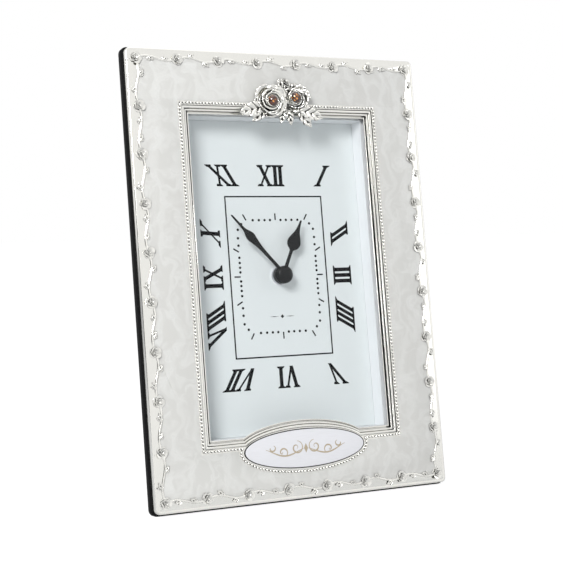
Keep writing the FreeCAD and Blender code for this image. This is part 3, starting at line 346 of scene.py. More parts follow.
# ---- outlines ----
def arc(width, height, z, start, end, steps):
    """Points on an oval from one angle to another, in degrees."""
    points = []
    for index in range(steps + 1):
        angle = radians(start + (end - start) * index / steps)
        points.append((width / 2 * cos(angle), z + height / 2 * sin(angle)))
    return points


def round_plaque(f, grow, gap, full_turn):
    """The opening's rectangle, grown, whose lower side follows the plaque's oval at a gap."""
    half = f.sight_width / 2 + grow
    low, high = f.sight_bottom - grow, f.sight_top + grow
    width, height = f.plaque_width + 2 * gap, f.plaque_height + 2 * gap
    start = degrees(asin((low - f.plaque_centre) / (height / 2)))
    oval = arc(width, height, f.plaque_centre, 180 - start, full_turn + start, 64)
    return oval + [(half, low), (half, high), (-half, high), (-half, low)]


def surround_outline(f, grow):
    """The moulding's outer edge, grown, that passes under the plaque."""
    return round_plaque(f, f.moulding + grow, f.plaque_rim + grow, 360)


def opening_outline(f, grow):
    """The opening's edge, grown, that passes over the plaque."""
    return round_plaque(f, grow, f.plaque_rim + f.moulding - grow, 0)


def along(loop, pitch):
    """Points at equal steps round a closed line, as close to the pitch as fits it."""
    ring = loop + loop[:1]
    spans = [dist(a, b) for a, b in zip(ring, ring[1:])]
    total = sum(spans)
    count = round(total / pitch)
    points, index, passed = [], 0, 0.0
    for number in range(count):
        target = total * number / count
        while index < len(spans) - 1 and passed + spans[index] < target:
            passed += spans[index]
            index += 1
        share = (target - passed) / spans[index] if spans[index] else 0
        a, b = ring[index], ring[index + 1]
        points.append((a[0] + (b[0] - a[0]) * share, a[1] + (b[1] - a[1]) * share))
    return points


# ---- shader maths ----
def maths(operation, swapped=False):
    """An operator of Flow that becomes a Math node."""

    def method(self, *others):
        values = (*others, self) if swapped else (self, *others)
        return self.recipe.node("Math", *values, operation=operation)

    return method


class Flow:
    """A shader socket that plain arithmetic works on."""

    def __init__(self, recipe, socket):
        self.recipe = recipe
        self.socket = socket

    __add__ = __radd__ = maths("ADD")
    __sub__ = maths("SUBTRACT")
    __rsub__ = maths("SUBTRACT", swapped=True)
    __mul__ = __rmul__ = maths("MULTIPLY")
    __pow__ = maths("POWER")
    __abs__ = maths("ABSOLUTE")

    def above(self, low, high):
        """From 0 at low to 1 at high, without a jump."""
        return self.recipe.node("MapRange", self, low, high, interpolation_type="SMOOTHSTEP")


class Recipe:
    """The node tree of one finish."""

    def __init__(self, name, tree=None):
        if tree is None:
            self.material = bpy.data.materials.new(name)
            self.material.use_nodes = True
            tree = self.material.node_tree
        self.tree = tree
        tree.nodes.clear()

    def fill(self, socket, value):
        """Link a socket to a flow, or set its value."""
        if isinstance(value, Flow):
            self.tree.links.new(value.socket, socket)
        else:
            socket.default_value = (*value[:3], 1) if socket.type == "RGBA" else value

    def node(self, kind, *values, output=0, **named):
        """Add a node. Lower-case names are its settings, capitalised ones its sockets."""
        made = self.tree.nodes.new("ShaderNode" + kind)
        sockets = dict(enumerate(values))
        for key, value in named.items():
            if key[0].islower():
                setattr(made, key, value)
            else:
                sockets[key.replace("_", " ")] = value
        for key, value in sockets.items():
            self.fill(made.inputs[key], value)
        return Flow(self, made.outputs[output]) if made.outputs else None

    def upright(self, stretch=None):
        """Object coordinates in millimetres, turned back upright."""
        where = self.node("TexCoord", output="Object")
        turned = self.node("Mapping", where, (0, 0, 0), (LEAN, 0, 0), (1000, 1000, 1000))
        return self.node("Mapping", turned, Scale=stretch) if stretch else turned

    def noise(self, where, scale, detail=2.0, distortion=0.0, roughness=0.5):
        return self.node(
            "TexNoise", where, Scale=scale, Detail=detail, Distortion=distortion, Roughness=roughness
        )

    def split(self, where):
        """The x, y and z of a vector."""
        return [Flow(self, socket) for socket in self.node("SeparateXYZ", where).socket.node.outputs]

    def mix(self, factor, first, second):
        """A colour between two colours."""
        mixed = self.node("Mix", data_type="RGBA", output=2)
        for index, value in ((0, factor), (6, first), (7, second)):
            self.fill(mixed.socket.node.inputs[index], value)
        return mixed

    def openness(self, reach):
        """1 where nothing is near, falling to 0 where walls stand within reach in mm."""
        return self.node("AmbientOcclusion", output="AO", samples=8, Distance=reach / 1000)

    def bump(self, height, distance, strength=1.0):
        return self.node("Bump", Strength=strength, Distance=distance, Height=height)

    def surface(self, **sockets):
        """End in a principled shader with these sockets."""
        self.node("OutputMaterial", self.node("BsdfPrincipled", **sockets))
        return self.material


# ---- finishes ----
TARNISH = (0.80, 0.79, 0.76)
# Near-black painted into the silver as shade in gaps and on steep flanks.
PAINTED_SHADE_COLOUR = (0.022, 0.021, 0.02)
UPRIGHT_RAILS = (1920, 1990)  # square of x where the moulding's upright sides begin


def tint(colour):
    """A colour, or the panel's colour of that name."""
    return tuple(getattr(bpy.context.scene.clock_colours, colour)) if isinstance(colour, str) else colour


def silver(roughness=0.13, age=0.3, reach=0.7, flank=0.5, steep=(0.25, 0.6), gap=(0.25, 0.75), rails=False):
    """Silver plate with faint polishing marks, and painted shade in gaps and on steep flanks.

    reach is how far in mm a wall spreads painted shade on what is near, flank what a steep face keeps of
    its brightness. With rails, the painted shade is weaker on all but the moulding's upright sides."""

    def make(name):
        r = Recipe(name)
        where = r.upright()
        cloud = r.noise(where, 0.09, 3.0)
        marks = r.noise(r.upright((1, 1, 9)), 1.4, 4.0)
        shade = r.mix(cloud.above(0.35, 0.75) * age, tint("silver"), TARNISH)
        rough = roughness + 0.05 * cloud + 0.04 * marks
        normal = r.node("TexCoord", output="Normal")
        facing = abs(r.node("VectorMath", normal, FRONT, operation="DOT_PRODUCT", output="Value"))
        # Painted shade: darker near walls within reach and on faces turned away from the front.
        bright = r.openness(reach).above(*gap) * (flank + (1 - flank) * facing.above(*steep))
        painted_shade = 1 - bright
        if rails:
            # Painted shade: the moulding's upright sides are painted darker than its top and foot.
            x = r.split(where)[0]
            painted_shade = painted_shade * (0.3 + 0.7 * (x * x).above(*UPRIGHT_RAILS))
        shade = r.mix(painted_shade * 0.96, shade, PAINTED_SHADE_COLOUR)
        rough = rough + 0.2 * painted_shade
        return r.surface(Base_Color=shade, Metallic=1.0, Roughness=rough, Normal=r.bump(marks, 4e-6, 0.35))

    return make


def pearl_enamel(name):
    """Pearl enamel: curled light veins under a clear gloss, with painted shade at the foot of the relief."""
    r = Recipe(name)
    where = r.upright()
    drift = r.node("TexNoise", where, output="Color", Scale=0.07, Detail=2.0)
    moved = r.node("VectorMath", drift, (26, 26, 26), where, operation="MULTIPLY_ADD")
    curls = r.noise(moved, 0.11, 4.0, 1.4, 0.55)
    wave = {"Scale": 0.03, "Distortion": 5.0, "Detail": 3.0, "Detail_Scale": 1.2}
    veins = r.node("TexWave", moved, output="Fac", wave_profile="SIN", **wave)
    light = curls.above(0.42, 0.70) * 0.5 + veins.above(0.55, 1.0) * 0.3
    ground = r.mix(r.noise(where, 0.03, 2.0), tint("pearl"), (0.62, 0.61, 0.585))
    shade = r.mix(light, ground, tint("pearl_light"))
    # Painted shade: the enamel is darkened where the vine, roses and beads stand within 2.4 mm.
    shade = r.mix(0.5 * (1 - r.openness(2.4).above(0.45, 0.98)), shade, (0.42, 0.42, 0.41))
    rough = 0.34 - 0.12 * light
    relief = r.bump(curls, 6e-5, 0.25)
    return r.surface(Base_Color=shade, Roughness=rough, Coat_Weight=0.55, Coat_Roughness=0.06, Normal=relief)


def clouded(first, second, scale, detail, rough, spread, streak=None, depth=0, **sockets):
    """A finish that drifts between two colours and two roughnesses."""

    def make(name):
        r = Recipe(name)
        cloud = r.noise(r.upright(streak), scale, detail)
        more = {"Normal": r.bump(cloud, depth, 0.3)} if depth else {}
        shade = r.mix(cloud, tint(first), second)
        return r.surface(Base_Color=shade, Roughness=rough + spread * cloud, **more, **sockets)

    return make


def amber_stone(name):
    """Foil-backed amber stone: dark heart, brighter facets and a few painted glints."""
    r = Recipe(name)
    facets = r.node("TexVoronoi", r.upright(), output="Color", Scale=1.25)
    split = r.node("SeparateColor", facets)
    glow = split.above(0.3, 0.9)
    dark = r.mix(glow, (0.022, 0.005, 0.002), tint("amber"))
    # Painted glints: a few cells turn bright orange.
    shade = r.mix(split.above(0.88, 0.94), dark, (0.75, 0.30, 0.06))
    glass = {"IOR": 1.6, "Coat_Weight": 1.0, "Coat_Roughness": 0.02}
    return r.surface(Base_Color=shade, Roughness=0.06 + 0.08 * glow, Metallic=0.35 * glow, **glass)


def clear_pane(name):
    """Clear glass: what is behind shows through, and its face mirrors a little."""
    r = Recipe(name)
    smear = r.noise(r.upright(), 0.05, 2.0)
    clear = r.node("BsdfTransparent", Color=(0.995, 0.998, 1.0))
    rough = 0.02 + 0.02 * smear
    mirror = r.node("BsdfPrincipled", Base_Color=(0.9, 0.93, 0.95), Metallic=1.0, Roughness=rough)
    edge = r.node("LayerWeight", output="Facing", Blend=0.5)
    r.node("OutputMaterial", r.node("MixShader", 0.01 + 0.3 * edge**4, clear, mirror))
    return r.material


def grained(
    shade, roughness, scale, depth, second=None, darker=0.8, metallic=0.0, coat=0.0, streak=None, specular=0.5
):
    """A plain finish with a fine grain and a slow change of shade."""

    def make(name):
        r = Recipe(name)
        first = tint(shade)
        other = second or tuple(v * darker for v in first)
        fine = r.noise(r.upright(streak), scale, 3.0)
        slow = r.noise(r.upright(), 0.05, 2.0)
        return r.surface(
            Base_Color=r.mix(0.6 * slow + 0.4 * fine, first, other),
            Roughness=roughness + 0.12 * (fine - 0.5),
            Metallic=metallic,
            Coat_Weight=coat,
            Specular_IOR_Level=specular,
            Normal=r.bump(fine, depth, 0.6),
        )

    return make


def velvet(name):
    """Short black pile that catches light at grazing angles."""
    r = Recipe(name)
    where = r.upright()
    pile = r.noise(where, 6.0, 4.0, 0.0, 0.7)
    brushed = r.noise(where, 0.12, 3.0, 0.6)
    return r.surface(
        Base_Color=r.mix(brushed, tint("velvet"), (0.007, 0.007, 0.0075)),
        Roughness=0.92 + 0.06 * pile,
        Sheen_Weight=0.12,
        Sheen_Roughness=0.4,
        Sheen_Tint=(0.5, 0.5, 0.52),
        Specular_IOR_Level=0.2,
        Normal=r.bump(pile, 1.2e-4, 0.8),
    )


def wound_copper(name):
    """Fine enamelled wire wound side by side."""
    r = Recipe(name)
    turns = r.node("TexWave", r.upright(), output="Fac", bands_direction="Z", Scale=1.6)
    shade = r.mix(turns, (0.30, 0.10, 0.03), (0.75, 0.33, 0.13))
    return r.surface(Base_Color=shade, Metallic=0.9, Roughness=0.28 + 0.1 * turns, Normal=r.bump(turns, 1e-4))


def cell_jacket(name):
    """Battery jacket with a band of another colour at its positive end."""
    r = Recipe(name)
    where = r.upright()
    band = r.split(where)[0].above(11.8, 12.0)
    grain = r.noise(where, 2.0, 2.0)
    shade = r.mix(band, (0.03, 0.035, 0.05), (0.55, 0.36, 0.12))
    return r.surface(Base_Color=shade, Metallic=0.3, Roughness=0.28 + 0.1 * grain, Coat_Weight=0.3)


# Grained finishes say their colour, roughness, the grain's scale and its depth in metres,
# clouded ones two colours, the scale and detail, the roughness and how far it drifts.
MAKERS = {
    # Every silver finish carries painted shade in gaps and on steep flanks; silver_reeds also paints the
    # moulding's upright sides darker.
    "silver_plate": silver(age=0.35, reach=0.45, flank=1.0, gap=(0.15, 0.6)),
    "silver_cast": silver(flank=0.6),
    "silver_relief": silver(roughness=0.22, reach=0.5, steep=(0.3, 0.78), gap=(0.36, 0.86)),
    "silver_rosettes": silver(roughness=0.22, reach=0.5, flank=0.4, steep=(0.35, 0.85), gap=(0.46, 0.92)),
    "silver_spray": silver(reach=1.0, steep=(0.3, 0.72), gap=(0.34, 0.84)),
    "silver_leaf": silver(roughness=0.14, reach=0.9, flank=0.3, steep=(0.45, 0.82), gap=(0.45, 0.9)),
    "silver_reeds": silver(
        roughness=0.12, reach=1.1, flank=0.6, steep=(0.1, 0.5), gap=(0.36, 0.84), rails=True
    ),
    # Dark silver painted under the beads as the shade between them.
    "oxidised_silver": clouded((0.10, 0.10, 0.10), (0.22, 0.21, 0.20), 0.8, 3.0, 0.35, 0.2, Metallic=0.8),
    "pearl_enamel": pearl_enamel,
    "plaque_lacquer": clouded(
        "plaque", (0.86, 0.86, 0.90), 1.2, 3.0, 0.32, 0.08, streak=(0.15, 1, 6), depth=4e-6, Metallic=0.15
    ),
    "champagne_fill": clouded("champagne", (0.40, 0.33, 0.24), 5.0, 2.0, 0.4, 0.1, Metallic=0.35),
    "amber_crystal": amber_stone,
    "clear_glass": clear_pane,
    "white_plastic": grained("recess", 0.38, 1.5, 1e-5, darker=0.97, coat=0.15),
    "dial_enamel": grained("dial", 0.5, 3.0, 4e-6, darker=0.985, specular=0.3),
    "dial_ink": grained("ink", 0.6, 4.0, 3e-6, specular=0.05),
    "black_enamel": grained("ink", 0.35, 2.5, 4e-6, darker=0.75, specular=0.22),
    "black_velvet": velvet,
    "black_plastic": grained((0.018, 0.018, 0.02), 0.5, 2.2, 6e-5),
    "case_plastic": grained((0.025, 0.025, 0.028), 0.35, 1.6, 2e-5),
    "inner_plastic": grained((0.80, 0.78, 0.70), 0.42, 1.2, 1e-5),
    "nickel_steel": grained((0.70, 0.69, 0.66), 0.24, 3.0, 6e-6, metallic=1.0, streak=(1, 1, 6)),
    "hinge_brass": grained((0.72, 0.52, 0.22), 0.3, 2.0, 1e-5, metallic=1.0, streak=(6, 1, 1)),
    "magnet_grey": grained((0.10, 0.10, 0.11), 0.55, 3.0, 2e-5, metallic=0.6),
    "motor_steel": grained((0.45, 0.46, 0.48), 0.32, 2.0, 1e-5, metallic=1.0, streak=(1, 1, 5)),
    "coil_copper": wound_copper,
    "circuit_green": grained((0.02, 0.14, 0.06), 0.35, 1.0, 2e-5, second=(0.03, 0.20, 0.09), coat=0.4),
    "chip_resin": grained((0.02, 0.02, 0.02), 0.6, 3.0, 2e-5),
    "cell_jacket": cell_jacket,
}
MADE = {}  # the finishes made so far


def finish(name):
    """The finish of that name, made once."""
    if name not in MADE:
        MADE[name] = MAKERS[name](name)
    return MADE[name]


# ---- silver front ----
class ClockStep(bpy.types.Operator):
    """What every step of the clock shares"""

    bl_options = {"REGISTER", "UNDO"}


# The fine groove near the plate's edge as (width, step down or up).
EDGE_GROOVE = ((0.45, 0.0), (0.12, -0.05), (0.35, 0.0), (0.12, 0.05))


class FRAMECLOCK_OT_shell(ClockStep):
    """Make the silver plate with its rounded rim, edge groove and opening"""

    bl_idname = "frameclock.shell"
    bl_label = "Silver shell"

    def execute(self, context):
        f = frame_sizes()
        centre = (0, f.plate_depth / 2, f.plate_height / 2)
        shell = box("silver_shell", centre, (f.plate_width, f.plate_depth, f.plate_height))
        pick(shell, "edges", runs_back)
        bpy.ops.mesh.bevel(offset=f.corner_radius, segments=6, affect="EDGES")
        pick(shell, "edges", lambda e: all(v.co.y < 0.001 for v in e.verts))
        bpy.ops.mesh.bevel(offset=f.edge_round, segments=4, affect="EDGES")
        pick(shell, "faces", lambda p: p.normal.y < -0.99 and p.calc_area() > 1000)
        for width, step in EDGE_GROOVE:
            bpy.ops.mesh.inset(thickness=width, depth=step, use_even_offset=True)
        pick(shell, "faces", lambda p: p.normal.y > 0.99)
        bpy.ops.mesh.inset(thickness=f.plate_wall, use_even_offset=True)
        hollow = (0, f.plate_wall - f.plate_depth, 0)
        bpy.ops.mesh.extrude_region_move(TRANSFORM_OT_translate={"value": hollow})
        done(shell)
        hole = tidy(slab("hole", [opening_outline(f, f.moulding + 0.1)], 20))
        place(cut(shell, hole), "silver_shell", "silver_plate", ["front_frame"])
        return {"FINISHED"}


# The two reeds as (distance from the opening, crest's y, half width, drop to the channel).
REEDS = ((3.31, 0.25, 0.54, 0.9), (2.1, 1.05, 0.44, 1.5))
LIP_MIDDLE, LIP_CREST, LIP_ROUND = 0.69, 1.8, 0.29
MOULDING_BACK = 3.3


def moulding_profile(f):
    """Steps round the moulding, inwards and back, as (distance from the opening, y)."""
    edge = f.moulding + 0.12
    steps = [(edge, 0.0), (f.moulding + 0.1, 0.9), (f.moulding, 0.9)]
    for middle, crest, half, drop in REEDS:
        for step in range(-80, 81, 20):
            angle = radians(step)
            fall = 0.62 * half * (1 - cos(angle))
            steps.append((middle - half * sin(angle), crest + fall))
        steps.append((middle - half - 0.05, crest + drop + 0.35))
    steps.append((1.02, 3.0))
    for step in range(-70, 81, 25):
        angle = radians(step)
        fall = LIP_ROUND * (1 - cos(angle))
        steps.append((LIP_MIDDLE - LIP_ROUND * sin(angle), LIP_CREST + fall))
    return steps + [(1.2, MOULDING_BACK - 0.02), (1.2, MOULDING_BACK), (edge, MOULDING_BACK), steps[0]]


class FRAMECLOCK_OT_moulding(ClockStep):
    """Make the mitred reeds and the bright lip that step down to the glass and arch over the plaque"""

    bl_idname = "frameclock.moulding"
    bl_label = "Reeded moulding"

    def execute(self, context):
        f = frame_sizes()
        steps = moulding_profile(f)
        rings = [opening_outline(f, distance) for distance, y in steps]
        rows, count = len(steps) - 1, len(rings[0])
        sheet = grid("reeds", count, rows)
        for vertex in sheet.data.vertices:
            row = round((vertex.co.y + 1) / 2 * rows)
            x, z = rings[row][round((vertex.co.x + 1) / 2 * count) % count]
            vertex.co = (x, steps[row][1], z)
        place(tidy(sheet), "reeded_moulding", "silver_reeds", angle=50)
        return {"FINISHED"}


# Distances from the moulding: the bead row's middle, the edges of the dark seat painted under the beads as
# their shade, the enamel.
BEAD_LINE, SEAT_EDGES, INLAY_EDGE = 1.0, (1.32, 0.68), 1.9
INLAY_DEPTH, INLAY_MIDDLE = 0.36, 0.14


class FRAMECLOCK_OT_beads(ClockStep):
    """Make the row of beads round the moulding and under the plaque"""

    bl_idname = "frameclock.beads"
    bl_label = "Bead row"

    def execute(self, context):
        f = frame_sizes()
        bead = dome("bead", (0, 0, 0), f.bead_diameter / 2, 10, 6, 1, edge=0.05, foot=0.2)
        line = along(surround_outline(f, BEAD_LINE), f.bead_pitch)
        spots = [Matrix.Translation((x, -0.1, z)) for x, z in line]
        place(join("bead_row", copies(bead, spots)), "bead_row", "silver_cast", angle=60)
        # A dark band under the beads: painted shade that shows between them.
        seat = slab("seat", [surround_outline(f, edge) for edge in SEAT_EDGES], 0.08, y=-0.02)
        place(tidy(seat), "bead_seat", "oxidised_silver")
        return {"FINISHED"}


class FRAMECLOCK_OT_inlay(ClockStep):
    """Make the pearl enamel, whose outer edge follows the vine"""

    bl_idname = "frameclock.inlay"
    bl_label = "Pearl inlay"

    def execute(self, context):
        f = frame_sizes()
        outer = vine_line(f, in_mm(context.scene.clock_border))
        outlines = [outer, surround_outline(f, INLAY_EDGE)]
        sheet = tidy(slab("pearl", outlines, INLAY_DEPTH, y=INLAY_MIDDLE))
        pick(sheet, "edges", lambda e: all(v.co.y < 0 for v in e.verts) and e.calc_face_angle(0) > 1)
        bpy.ops.mesh.bevel(offset=0.03, segments=2, affect="EDGES")
        place(done(sheet), "pearl_enamel", "pearl_enamel", ["pearl_inlay"])
        return {"FINISHED"}


# ---- border of roses ----
SIDE_ROSES = (7, 9, 7, 9)


def border_places(f, b):
    """Rose places round the border, in order."""
    half, low, high = f.plate_width / 2 - b.margin, b.margin, f.plate_height - b.margin
    corners = [(-half, high), (half, high), (half, low), (-half, low)]
    spots = []
    for (x, z), (far_x, far_z), count in zip(corners, corners[1:] + corners[:1], SIDE_ROSES):
        spots += [(x + (far_x - x) * i / count, z + (far_z - z) * i / count) for i in range(count)]
    return spots


def border_spans(f, b):
    """Pairs of neighbouring rose places, round the border."""
    spots = border_places(f, b)
    return list(zip(spots, spots[1:] + spots[:1]))


def vine_point(start, end, share, wave):
    """A point of the waving vine between two roses, and its direction."""
    chord = Vector((end[0] - start[0], end[1] - start[1]))
    across = Vector((-chord.y, chord.x)).normalized()
    swing = wave * sin(2 * pi * share)
    slope = chord + across * (wave * 2 * pi * cos(2 * pi * share))
    return Vector(start) + chord * share + across * swing, slope


def vine_line(f, b, steps=16):
    line = []
    for start, end in border_spans(f, b):
        line += [tuple(vine_point(start, end, i / steps, b.vine_wave)[0]) for i in range(steps)]
    return line


def petal(name, shape, columns, rows, thickness, level=0):
    """A petal or leaf: a grid whose points go where shape(u, v) says, then thickened."""
    sheet = grid(name, columns, rows)
    for vertex in sheet.data.vertices:
        vertex.co = shape(vertex.co.x, (vertex.co.y + 1) / 2)
    modify(sheet, "SOLIDIFY", thickness=thickness, offset=0)
    if level:
        modify(sheet, "SUBSURF", levels=level)
    return sheet


def rose_petal(inner, outer, foot, height, span, flare, ruffle, phase):
    """One petal about the rose's axis, +z: it rises first, then flares and rolls over."""

    def shape(u, v):
        reach = v * (1 - 0.36 * u * u)
        radius = inner + (outer - inner) * reach**flare - 0.12 * outer * u * v
        rise = foot + height * sin(reach * 1.95) / sin(1.57)
        rise += ruffle * sin(3 * pi * u + phase) * v * v
        return (radius * cos(u * span), radius * sin(u * span), rise)

    return shape


def make_rose(name, diameter, height, rings, columns, rows, thickness, level=0):
    """A rose of rings of petals that overlap one way round, about +z.

    A ring is (petals, inner and outer share of the radius, foot and rise as shares of
    the height, flare, ruffle)."""
    radius = diameter / 2
    parts = []
    for number, (count, inner, outer, foot, rise, flare, ruffle) in enumerate(rings):
        for index in range(count):
            far = outer * radius * (1 + 0.08 * sin(5.1 * index + number))
            span = pi / count * 1.32
            bend = (foot * height, rise * height, span, flare, ruffle * height, index * 1.7)
            leaf = petal(name, rose_petal(inner * radius, far, *bend), columns, rows, thickness, level)
            turn = 2 * pi * (index + 0.37 * number + 0.12 * sin(3.7 * index + 2 * number)) / count
            nod = Matrix.Rotation(0.10 * sin(4.3 * index + 1.9 * number), 4, "Y")
            roll = Matrix.Rotation(0.16 * sin(2.9 * index + 2.3 * number), 4, "X")
            leaf.data.transform(Matrix.Rotation(turn, 4, "Z") @ nod @ roll)
            parts.append(leaf)
    return join(name, parts)


SMALL_RINGS = (
    (5, 0.42, 1.0, 0.0, 0.24, 1.0, 0.10),
    (5, 0.34, 0.81, 0.18, 0.27, 1.0, 0.10),
    (5, 0.22, 0.62, 0.36, 0.30, 1.0, 0.08),
    (4, 0.12, 0.42, 0.54, 0.32, 1.0, 0.05),
    (2, 0.02, 0.24, 0.70, 0.34, 1.0, 0.0),
)


def leaf_shape(length, width, lift, ribs, rib_height, notch):
    """A pointed leaf along +x from the origin, with a sunk midrib and slanting ribs."""

    def shape(u, v):
        x = (u + 1) / 2
        side = 2 * v - 1
        outline = sin(pi * min(1.0, x**0.85)) ** 0.75
        spread = outline * (1 - notch * abs(sin(ribs * pi * x)))
        rib = -rib_height * (1 - abs(sin(pi * (ribs * x - 0.8 * abs(side))))) ** 1.5
        rise = lift * (0.35 + 0.65 * sin(pi * x)) * (0.45 + 0.75 * abs(side) - 0.6 * side**4)
        return (x * length, side * spread * width / 2, rise + rib * spread)

    return shape


# Each leaf pair as (share of the vine's span, side) and each leaf as (slant in degrees, size).
LEAF_PAIRS = ((0.27, -1), (0.62, 1))
LEAF_SLANTS = ((28, 1.0), (66, 0.72))
VINE_FLAT, VINE_RAISE, LEAF_RAISE = 0.8, 0.05, 0.12
ROSE_TURN = -2.4  # radians from rose to rose


class FRAMECLOCK_OT_border(ClockStep):
    """Make the border's vine, its roses and its leaves"""

    bl_idname = "frameclock.border"
    bl_label = "Rose border"

    def execute(self, context):
        f, b = frame_sizes(), in_mm(context.scene.clock_border)
        vine = wire("vine", [vine_line(f, b)], b.vine_width / 2, closed=True)
        for vertex in vine.data.vertices:
            vertex.co.y = VINE_FLAT * vertex.co.y - VINE_RAISE
        place(tidy(vine), "border_vine", "silver_plate", angle=80)

        size = (b.rose_diameter, b.rose_height)
        rose = make_rose("rose", *size, SMALL_RINGS, columns=6, rows=3, thickness=0.16)
        spots = [on_front(x, 0, z, ROSE_TURN * i) for i, (x, z) in enumerate(border_places(f, b))]
        roses = join("roses", copies(rose, spots))
        place(roses, "border_roses", "silver_rosettes", angle=45)

        size = (b.leaf_length, 0.52 * b.leaf_length)
        shape = leaf_shape(*size, lift=0.75, ribs=2, rib_height=0.6, notch=0.1)
        leaf = petal("leaf", shape, columns=12, rows=6, thickness=0.1)
        spots = []
        for index, (start, end) in enumerate(border_spans(f, b)):
            for share, side in LEAF_PAIRS:
                point, slope = vine_point(start, end, share, b.vine_wave)
                for slant, size in LEAF_SLANTS:
                    slant *= -side if index % 2 else side
                    heading = atan2(slope.y, slope.x) + radians(slant)
                    scale = size * (1 + 0.1 * sin(index * 1.9 + share * 9))
                    spots.append(on_front(point.x, -LEAF_RAISE, point.y, heading) @ Matrix.Scale(scale, 4))
        leaves = join("leaves", copies(leaf, spots))
        place(leaves, "border_leaves", "silver_relief", angle=50)
        return {"FINISHED"}


# ---- plaque ----
PLAQUE_DEPTH, PLAQUE_MIDDLE = 0.78, -0.11
PLAQUE_FACE = PLAQUE_MIDDLE - PLAQUE_DEPTH / 2
# A black ring painted in the gap round the plaque as its shadow: its edges, depth and middle.
GROOVE_SHADOW_EDGES, GROOVE_SHADOW_DEPTH, GROOVE_SHADOW_MIDDLE = (0.74, -0.1), 0.44, -0.14
# Each curl of the scroll as (size, distance from the middle, rise, turns, direction).
CURLS = ((3.0, 5.0, 0.4, 1.35, 1), (2.1, 12.2, -0.9, 1.25, -1), (1.4, 17.6, 0.7, 1.1, 1))


def scroll_lines(z):
    """The scroll's curls and sweeps about the height z, and their widths point by point."""
    lines, radii = [], []
    for side in (-1, 1):
        for big, reach, rise, turns, flip in CURLS:
            points, widths = [], []
            for index in range(41):
                t = index / 40
                angle = pi * (0.5 + 2 * turns * t) * flip
                size = big * (1 - 0.8 * t)
                x = reach + size * cos(angle) - 0.4 * (1 - t) * reach**0.5
                points.append((side * x, z + rise + size * sin(angle)))
                widths.append(0.45 + 0.9 * sin(pi * min(1, t * 1.15)) ** 1.2)
            lines.append(points)
            radii.append(widths)
        points, widths = [], []
        for index in range(31):
            t = index / 30
            dip = 2.9 * sin(pi * t) ** 1.3
            points.append((side * (1.2 + 18.6 * t), z - dip - 0.2 + 0.8 * t))
            widths.append(0.3 + 1.1 * sin(pi * t))
        lines.append(points)
        radii.append(widths)
    return lines, radii


def diamond(z, half_width, half_height):
    return [(-half_width, z), (0, z - half_height), (half_width, z), (0, z + half_height)]


class FRAMECLOCK_OT_plaque(ClockStep):
    """Make the oval plaque, the black ring painted in the gap round it as its shadow, and the scroll ornament
    on it
    """

    bl_idname = "frameclock.plaque"
    bl_label = "Oval plaque"

    def execute(self, context):
        f = frame_sizes()
        z, oval = f.plaque_centre, (f.plaque_width / 2, f.plaque_height / 2, 1)
        plate = disc("plaque", (0, PLAQUE_MIDDLE, z), 1, PLAQUE_DEPTH, 112, oval)
        pick(plate, "edges", lambda e: all(v.co.y < -0.4 for v in e.verts))
        bpy.ops.mesh.bevel(offset=0.28, segments=4, affect="EDGES")
        place(done(plate), "oval_plaque", "plaque_lacquer", ["name_plate"])

        # Painted shadow: a black ring in the gap round the plaque.
        rings = [arc(f.plaque_width + g, f.plaque_height + g, z, 0, 357, 119) for g in GROOVE_SHADOW_EDGES]
        groove = tidy(slab("groove", rings, GROOVE_SHADOW_DEPTH, y=GROOVE_SHADOW_MIDDLE))
        place(groove, "plaque_groove", "black_enamel")

        lines, radii = scroll_lines(z)
        scroll = wire("scroll", lines, 0.26, radii=radii)
        for vertex in scroll.data.vertices:
            vertex.co.y = PLAQUE_FACE + 0.12 * vertex.co.y
        lozenge = slab("lozenge", [diamond(z, 1.0, 2.1)], 0.1, y=PLAQUE_FACE)
        ornament = tidy(join("ornament", [scroll, lozenge]))
        place(ornament, "plaque_ornament", "champagne_fill", angle=60)
        return {"FINISHED"}


# ---- rose spray ----
SPRAY_BACK = -0.8
LARGE_RINGS = (
    (5, 0.62, 1.04, 0.0, 0.32, 0.9, 0.12),
    (5, 0.56, 0.92, 0.10, 0.40, 1.0, 0.12),
    (5, 0.50, 0.79, 0.23, 0.44, 1.1, 0.10),
    (4, 0.43, 0.66, 0.37, 0.48, 1.2, 0.08),
    (3, 0.36, 0.53, 0.50, 0.50, 1.4, 0.05),
)
BUD_RINGS = (
    (4, 0.50, 1.0, 0.0, 0.5, 1.0, 0.1),
    (3, 0.30, 0.72, 0.2, 0.6, 1.2, 0.1),
    (2, 0.05, 0.4, 0.4, 0.6, 1.4, 0.0),
)
# Each bloom as (rings, x, z, diameter, height, tilt and its heading in degrees, turn in radians).
BLOOMS = (
    (LARGE_RINGS, -4.9, 177.7, 15.4, 4.5, 8, 200, 0.3),
    (LARGE_RINGS, 9.2, 179.3, 11.8, 4.8, 32, 185, 1.1),
    (BUD_RINGS, 2.6, 185.7, 5.4, 2.8, 35, 80, 0.6),
)
STONES = ((-5.8, 177.24), (5.88, 178.97))
# Each leaf as (x, z, length, width, heading in degrees, ribs).
SPRAY_LEAVES = (
    (-8.2, 175.2, 13.0, 7.0, 193, 4),
    (-7.6, 173.6, 8.8, 4.4, 214, 3),
    (9.2, 174.4, 12.2, 6.6, -18, 4),
    (9.0, 173.2, 8.8, 5.2, -50, 3),
    (3.0, 174.0, 7.0, 4.2, -78, 3),
    (0.8, 173.8, 6.2, 3.6, -106, 3),
    (5.0, 182.8, 4.8, 3.2, 48, 2),
    (1.2, 182.8, 5.4, 3.4, 112, 2),
    (1.6, 182.0, 5.0, 3.2, 60, 2),
)
SPRAY_STEM = [(-6, 175), (0, 176.2), (3, 178), (7, 176.5)]
CUP_RADIUS, CUP_DEPTH, CUP_RIM, CUP_SLOPE, CUP_SINK = 2.75, 5.0, 0.12, 0.38, 0.35


